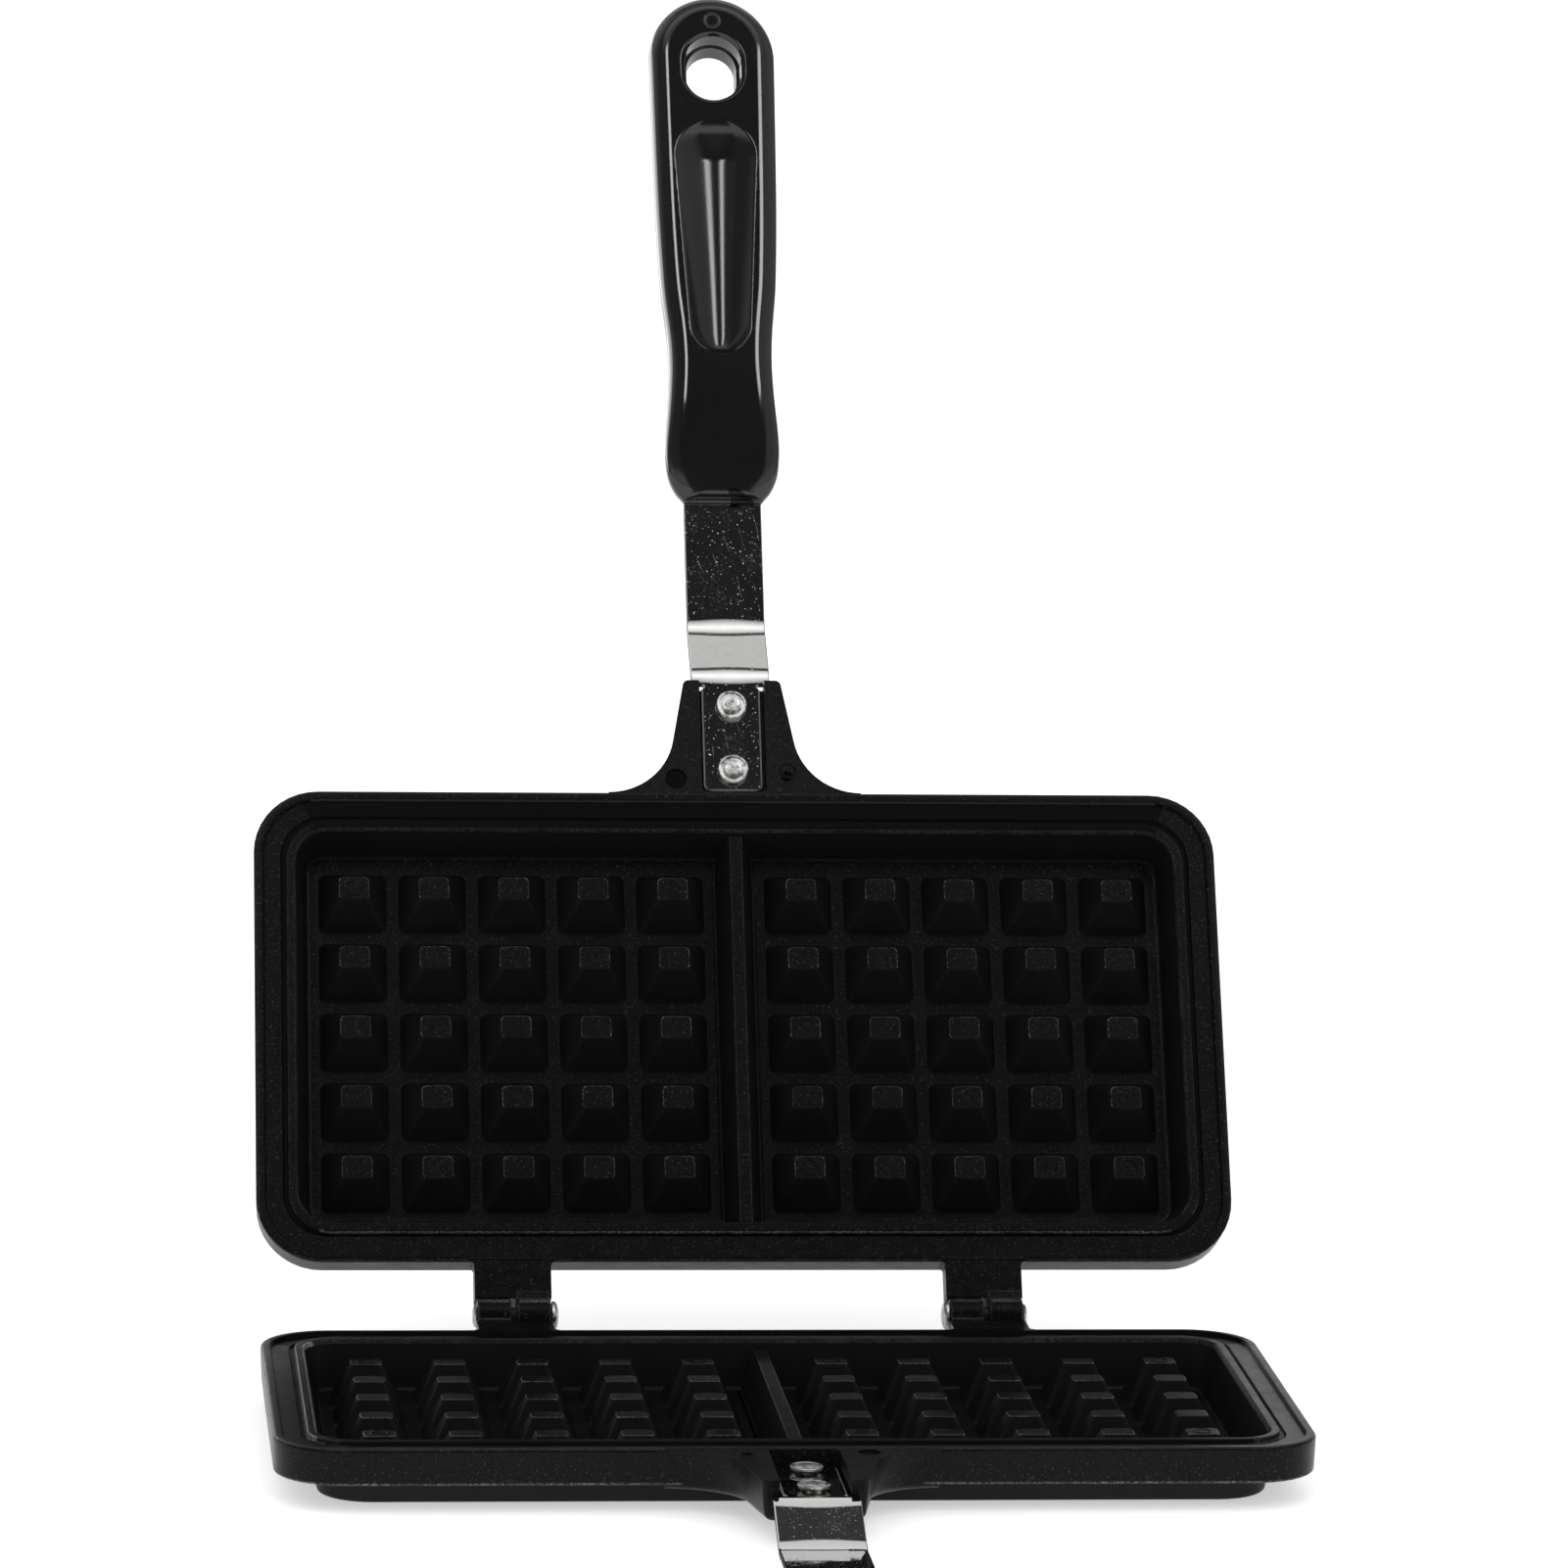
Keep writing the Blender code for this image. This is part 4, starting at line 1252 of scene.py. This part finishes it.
def trough_half_width(v):
    if v < first_straight:
        return math.sqrt(max(trough_small ** 2 - (v - near_centre) ** 2, 0.0))
    if v > last_straight:
        return math.sqrt(max(trough_large ** 2 - (v - far_centre) ** 2, 0.0))
    share = (v - first_straight) / (last_straight - first_straight)
    return (trough_small + (trough_large - trough_small) * share) * math.cos(lean)


def trough_outward(x, v):
    """Which way the trough's edge faces at a point on it."""
    if v < first_straight:
        return Vector((x, v - near_centre)).normalized()
    if v > last_straight:
        return Vector((x, v - far_centre)).normalized()
    return Vector((math.copysign(math.cos(lean), x), -math.sin(lean)))


def trough_floor(v):
    """Depth on the centre line: a steep start, a level floor and a straight ramp out."""
    rise = min((v - trough_low) / 0.0032, 1.0)
    ramp = (trough_high - v) / ramp_length
    soft = 0.05
    if ramp > 1 + soft:
        ramp = 1.0
    elif ramp > 1 - soft:
        ramp = ramp - (ramp - 1 + soft) ** 2 / (4 * soft)
    elif ramp < 0.4:
        ramp = ramp ** 2 / 0.4 * (2 - ramp / 0.4)
    return trough_depth * math.sqrt(max(1 - (1 - rise) ** 2, 0.0)) * max(ramp, 0.0)


def trough_grid():
    count, across = 84, 22
    rows = []
    for i in range(1, count):
        v = trough_low + (trough_high - trough_low) * (1 - math.cos(math.pi * i / count)) / 2
        wide = trough_half_width(v)
        near_end = min(1.0, max(0.0, 0.92 - (trough_high - v) / ramp_length) / 0.5)
        flat = min(0.0034 * near_end, 0.8 * wide)
        row = []
        for k in range(across + 1):
            x = wide * math.sin(quarter * (2 * k / across - 1))
            rise = max(0.0, abs(x) - flat) / (wide - flat)
            row.append(Vector((x, v, trough_floor(v) * (1 - rise * rise))))
        rows.append(row)
    return rows


print("trough from", round(trough_low, 4), "to", round(trough_high, 4))


# %% [markdown]
# The hanging hole is a stack of oval rings: bevelled mouths, slightly conical walls, and a small
# ridge halfway, where the two mould halves met.

# %% Hanging hole
hole_width = 0.0138
hole_length = 0.0172
hole_centre = plate_depth + grip_end - 0.0205
hole_profile = eased([
    (0.0022, 0.0, 0.0), (0.0010, 0.0, 0.0007), (0.0002, -0.0010, 0.0005), (-0.0002, -0.0058, 0.0001),
    (-0.0007, -0.0060, 0.0001), (-0.0007, -0.0063, 0.0001), (-0.0004, -0.0065, 0.0001),
    (-0.0009, -0.0114, 0.0005), (0.0002, -grip_thickness, 0.0004), (0.0014, -grip_thickness, 0.0)],
    3)[1:-1]


def hole_outline(grow):
    radius = hole_width / 2 + grow
    half = (hole_length - hole_width) / 2
    points = arc((0.0, hole_centre + half), radius, 0, math.pi, 20)
    return points + arc((0.0, hole_centre - half), radius, math.pi, 2 * math.pi, 20)


print("hole:", len(hole_profile), "rings")


# %% [markdown]
# Now the pieces meet. The trough's grid gets a rounded rim. Strips run across the face where it
# bends down to the nose. The flat rest is filled between its edge, the hole and the trough, and the
# flank closes it all round.

# %% Grip piece
def add_trough(piece):
    """Dished grid and its rounded rim; returns the loop in the face where the rim ends."""
    rows = trough_grid()

    def lifted(x, v, depth):
        return piece.body.verts.new(spot(x, v, grip_face - depth))

    def sunk(v):
        return 0.00030 * min(1.0, max(0.05, (trough_high - v) / 0.0070))

    grid = [[lifted(p.x, p.y, p.z + sunk(p.y)) for p in row] for row in rows]
    for low, high in zip(grid, grid[1:]):
        piece.band(low, high, 1, closed=False)
    first, last = lifted(0.0, trough_low, sunk(trough_low)), lifted(0.0, trough_high, sunk(trough_high))
    for tip, row in ((first, grid[0]), (last, grid[-1])):
        for a, b in zip(row, row[1:]):
            piece.body.faces.new((tip, a, b)).material_index = 1
    loop = inner = [first] + [row[-1] for row in grid] + [last] + [row[0] for row in reversed(grid)]
    for reach, depth in ((0.00012, 0.70), (0.00026, 0.43), (0.00042, 0.20), (0.00066, 0.0)):
        wider = []
        for vert in inner:
            x, v = vert.co.x, -vert.co.y - hinge_reach
            out = trough_outward(x, v)
            wider.append(lifted(x + reach * out.x, v + reach * out.y, depth * sunk(v)))
        piece.band(loop, wider)
        loop = wider
    return loop


def add_nose_face(piece, edge):
    """Strips across the face where it falls off to the nose; returns the edge of the flat rest."""
    count = len(edge)
    nose_end = -(hinge_reach + plate_depth + grip_start + nose_length + 0.0004)
    reach = sum(edge[i].co.y > nose_end for i in range(count // 2))
    left = [i for i in range(count) if edge[i].co.x < -1e-6
            and abs(edge[i].co.y - edge[reach].co.y) < 1e-7][0]
    piece.body.faces.new(edge[:2] + [edge[left + reach - 1]] + edge[left + reach:])
    for i in range(1, reach):
        piece.body.faces.new((edge[i], edge[i + 1], edge[left + reach - i - 1], edge[left + reach - i]))
    return edge[reach:left + 1]


def grip(half):
    piece = Piece()
    rings = []
    for inset, height in flank:
        share = 0.50 if height > side_low else 0.70
        rings.append(piece.ring(on_grip(moved_in(outline, inset, share), height)))
    for low, high in zip(rings, rings[1:]):
        piece.band(low, high)
    hole = [piece.ring(level(hole_outline(grow), grip_face + height)) for grow, height in hole_profile]
    for low, high in zip(hole, hole[1:]):
        piece.band(low, high)
    piece.fill([add_nose_face(piece, rings[0]), hole[0], add_trough(piece)])
    piece.fill([rings[-1], hole[-1]])
    add_mark(piece, 0.0, plate_depth + 0.2067, grip_face, 0.0018, 0.00036)
    return piece.finish(half + "_handle_grip", half, "moulded_grip", [half + "_grip"], [plastic, satin])


grips = [grip(half) for half in half_frames]

# %% [markdown]
# A screw with a slotted head holds the grip on the strap's tail. It is turned, and a boolean cuts
# its slot. The grip's back is drawn closed, so the screw stays hidden inside and only takes over
# from its solid.

# %% Grip screws
screw_place = 0.1030
screw_length = 0.0080
screw_head_radius = 0.0032
screw_head_height = 0.0014
screw_shank_radius = 0.0017
screw_slot_width = 0.0009
screw_slot_depth = 0.0007


def grip_screw(half):
    blank = Piece()
    seat = strap_top - strap_joggle - strap_thickness - meeting_gap
    profile = [(seat - screw_head_height, 0.0026), (seat - 0.0012, 0.0030),
               (seat - 0.0008, screw_head_radius), (seat, screw_head_radius), (seat, screw_shank_radius),
               (seat + 0.0063, screw_shank_radius), (seat + screw_length, 0.0008)]
    turn_piece(blank, profile, handle_point(screw_place), Vector((0, 0, 1)))
    centre = plate_depth + screw_place
    slot = prism_mesh(rounded_box(-0.0072, 0.0072, centre - screw_slot_width / 2,
                                  centre + screw_slot_width / 2, 0.0002, 1),
                      seat - 0.0054, seat - (screw_head_height - screw_slot_depth))
    piece = Piece()
    piece.body.from_mesh(worked(blank.as_mesh("screw_blank"), (slot,), 0.00006))
    piece.finish(half + "_handle_screw", half, "polished_steel", [half + "_grip_screw"], [hammered])


for half in half_frames:
    grip_screw(half)

# %% [markdown]
# ## Camera
#
# The photograph was taken with a long lens from a little above and slightly to the left. Its place,
# turn and focal length were solved from the plates' corners. A camera looks along its own minus z,
# so its axes are the picture's right, the picture's up, and straight back towards the photographer.

# %% Camera
picture_pixels = 1601
focal_pixels = 8332.364
yaw, pitch, roll = -0.09611004, -0.15534222, -0.01992160
turn = Matrix.Rotation(yaw, 3, "Z") @ Matrix.Rotation(pitch, 3, "X") @ Matrix.Rotation(roll, 3, "Y")
right, forward, up = turn.col[0], turn.col[1], turn.col[2]
lens = bpy.data.cameras.new("long_lens")
lens.sensor_width = 36.0
lens.lens = focal_pixels / picture_pixels * lens.sensor_width
lens.clip_start = 0.05
lens.clip_end = 50.0
camera = in_scene("camera", lens)
stand = hinge_line.translation + Vector((-0.17406344, -1.86206844, 0.41912684))
camera.matrix_world = Matrix.Translation(stand) @ Matrix((right, up, -forward)).transposed().to_4x4()
bpy.context.scene.camera = camera
print("lens", round(lens.lens, 1), "mm, camera at", tuple(round(n, 3) for n in stand))

# %% [markdown]
# ## Table and light
#
# The floor is pale paper. It glows a little of its own, so that the background is plain white and
# yet keeps the iron's soft shadow.

# %% Floor
def pale_floor():
    made, tree, surface = new_finish("pale_floor")
    fill_inputs(tree, surface, {
        "Base Color": (0.90, 0.90, 0.90, 1.0), "Roughness": 0.9, "Specular IOR Level": 0.0,
        "Emission Color": (1.0, 1.0, 1.0, 1.0), "Emission Strength": 0.46})
    return made


floor_mesh = bpy.data.meshes.new("floor")
floor_mesh.from_pydata([(-9, -9, 0), (9, -9, 0), (9, 9, 0), (-9, 9, 0)], [], [(0, 1, 2, 3)])
floor_mesh.materials.append(pale_floor())
floor = in_scene("floor", floor_mesh)
print("floor of 18 x 18 m")

# %% [markdown]
# The world lights everything evenly from all sides, and only for mirror reflections it is a studio:
# white paper behind and low down, a dark room towards the camera, a bright ceiling panel above, and
# paler walls left and right. Dark gloss shows nothing else, so these panels draw most of what we
# see on the steel and the grips.

# %% World
world = bpy.data.worlds.new("studio")
bpy.context.scene.world = world
world.use_nodes = True
tree = world.node_tree
tree.nodes.clear()
look = node(tree, "ShaderNodeTexCoord").outputs["Generated"]
parts = node(tree, "ShaderNodeSeparateXYZ", {0: look}).outputs
height = calc(tree, "ARCTAN2", parts["Z"], calc(tree, "MULTIPLY", parts["Y"], -1.0))
ramp = node(tree, "ShaderNodeValToRGB", {"Fac": calc(tree, "DIVIDE", height, math.pi)})
# Degrees up from the camera's side, over the top, to the back: brightness
panels = ((0.0, 0.20), (14.0, 0.07), (30.0, 0.02), (58.0, 0.02), (61.0, 0.55), (66.0, 0.95), (76.0, 1.7),
          (84.0, 1.3), (90.0, 0.75), (92.5, 0.10), (97.0, 0.10), (99.5, 0.80), (108.0, 0.80), (112.5, 0.05),
          (117.5, 0.05), (121.5, 0.88), (150.0, 0.95), (180.0, 1.0))
brightest = max(bright for _, bright in panels)
points = ramp.color_ramp.elements
while len(points) < len(panels):
    points.new(0.5)
for element, (degrees, bright) in zip(points, panels):
    element.position = degrees / 180.0
    element.color = (bright / brightest,) * 3 + (1.0,)

ceiling = calc(tree, "MULTIPLY", ramp.outputs["Color"], brightest)
left_wall = span(tree, parts["Y"], -0.10, 0.35, 0.15, 0.95)
right_wall = span(tree, parts["Y"], 0.30, 0.70, 0.50, 0.22)
room = blend(tree, ceiling, left_wall, span(tree, parts["X"], -0.60, -0.35, 1.0, 0.0))
room = blend(tree, room, right_wall, span(tree, parts["X"], 0.40, 0.65, 0.0, 1.0))

# White cards stand low on both sides in front
low = span(tree, parts["Z"], 0.12, 0.25, 1.0, 0.0)
aside = span(tree, calc(tree, "ABSOLUTE", parts["X"]), 0.30, 0.42, 0.0, 0.9)
in_front = span(tree, parts["Y"], -0.30, 0.0, 1.0, 0.0)
room = blend(tree, room, 1.0, calc(tree, "MULTIPLY", calc(tree, "MULTIPLY", low, aside), in_front))

white = {"Color": (1.0, 1.0, 1.0, 1.0), "Strength": 1.0}
paper_white = node(tree, "ShaderNodeBackground", white).outputs[0]
mirror_room = node(tree, "ShaderNodeBackground", {"Color": room, "Strength": 1.0}).outputs[0]
path = node(tree, "ShaderNodeLightPath").outputs["Is Glossy Ray"]
mixed = node(tree, "ShaderNodeMixShader", {0: path, 1: paper_white, 2: mirror_room}).outputs[0]
node(tree, "ShaderNodeOutputWorld", {"Surface": mixed})
print("world panels:", len(panels))

# %% [markdown]
# Two strip lamps stand high in front. They run along the grips' flanks as thin light lines, and
# show as stripes in the thumb troughs. A wide lamp low at the back left lights only the grips,
# which light linking allows, and draws the bright line along their left edge.

# %% Lamps
lamp_distance = 2.5
lamp_target = Vector((0.0, 0.10, 0.15))


def strip_lamp(name, azimuth, elevation, wide, tall, radiance):
    """Azimuth from the camera's side, to the right; the lamp faces the middle of the iron."""
    light = bpy.data.lights.new(name, "AREA")
    light.shape = "RECTANGLE"
    light.size, light.size_y = wide, tall
    light.energy = radiance * math.pi * wide * tall
    lamp = in_scene(name, light)
    a, e = math.radians(azimuth), math.radians(elevation)
    out = Vector((math.sin(a) * math.cos(e), -math.cos(a) * math.cos(e), math.sin(e)))
    lamp.location = lamp_target + out * lamp_distance
    lamp.rotation_euler = out.to_track_quat("Z", "Y").to_euler()
    lamp.visible_camera = False
    lamp.visible_diffuse = False
    print(name, "at", tuple(round(n, 2) for n in lamp.location))
    return lamp


strip_lamp("left_strip", -18.0, 54.0, 0.32, 0.70, 12.0)
strip_lamp("right_strip", 36.0, 52.0, 0.50, 0.60, 9.5)
rim_lamp = strip_lamp("left_rim_lamp", -134.0, 4.0, 2.20, 1.3, 4.0)
grips_only = bpy.data.collections.new("grips_only")
for made in grips:
    grips_only.objects.link(made)
rim_lamp.light_linking.receiver_collection = grips_only

# %% [markdown]
# ## Last steps
#
# The plain Standard view is set, so that colours render as written.

# %% View
bpy.context.scene.view_settings.view_transform = "Standard"
bpy.context.view_layer.update()
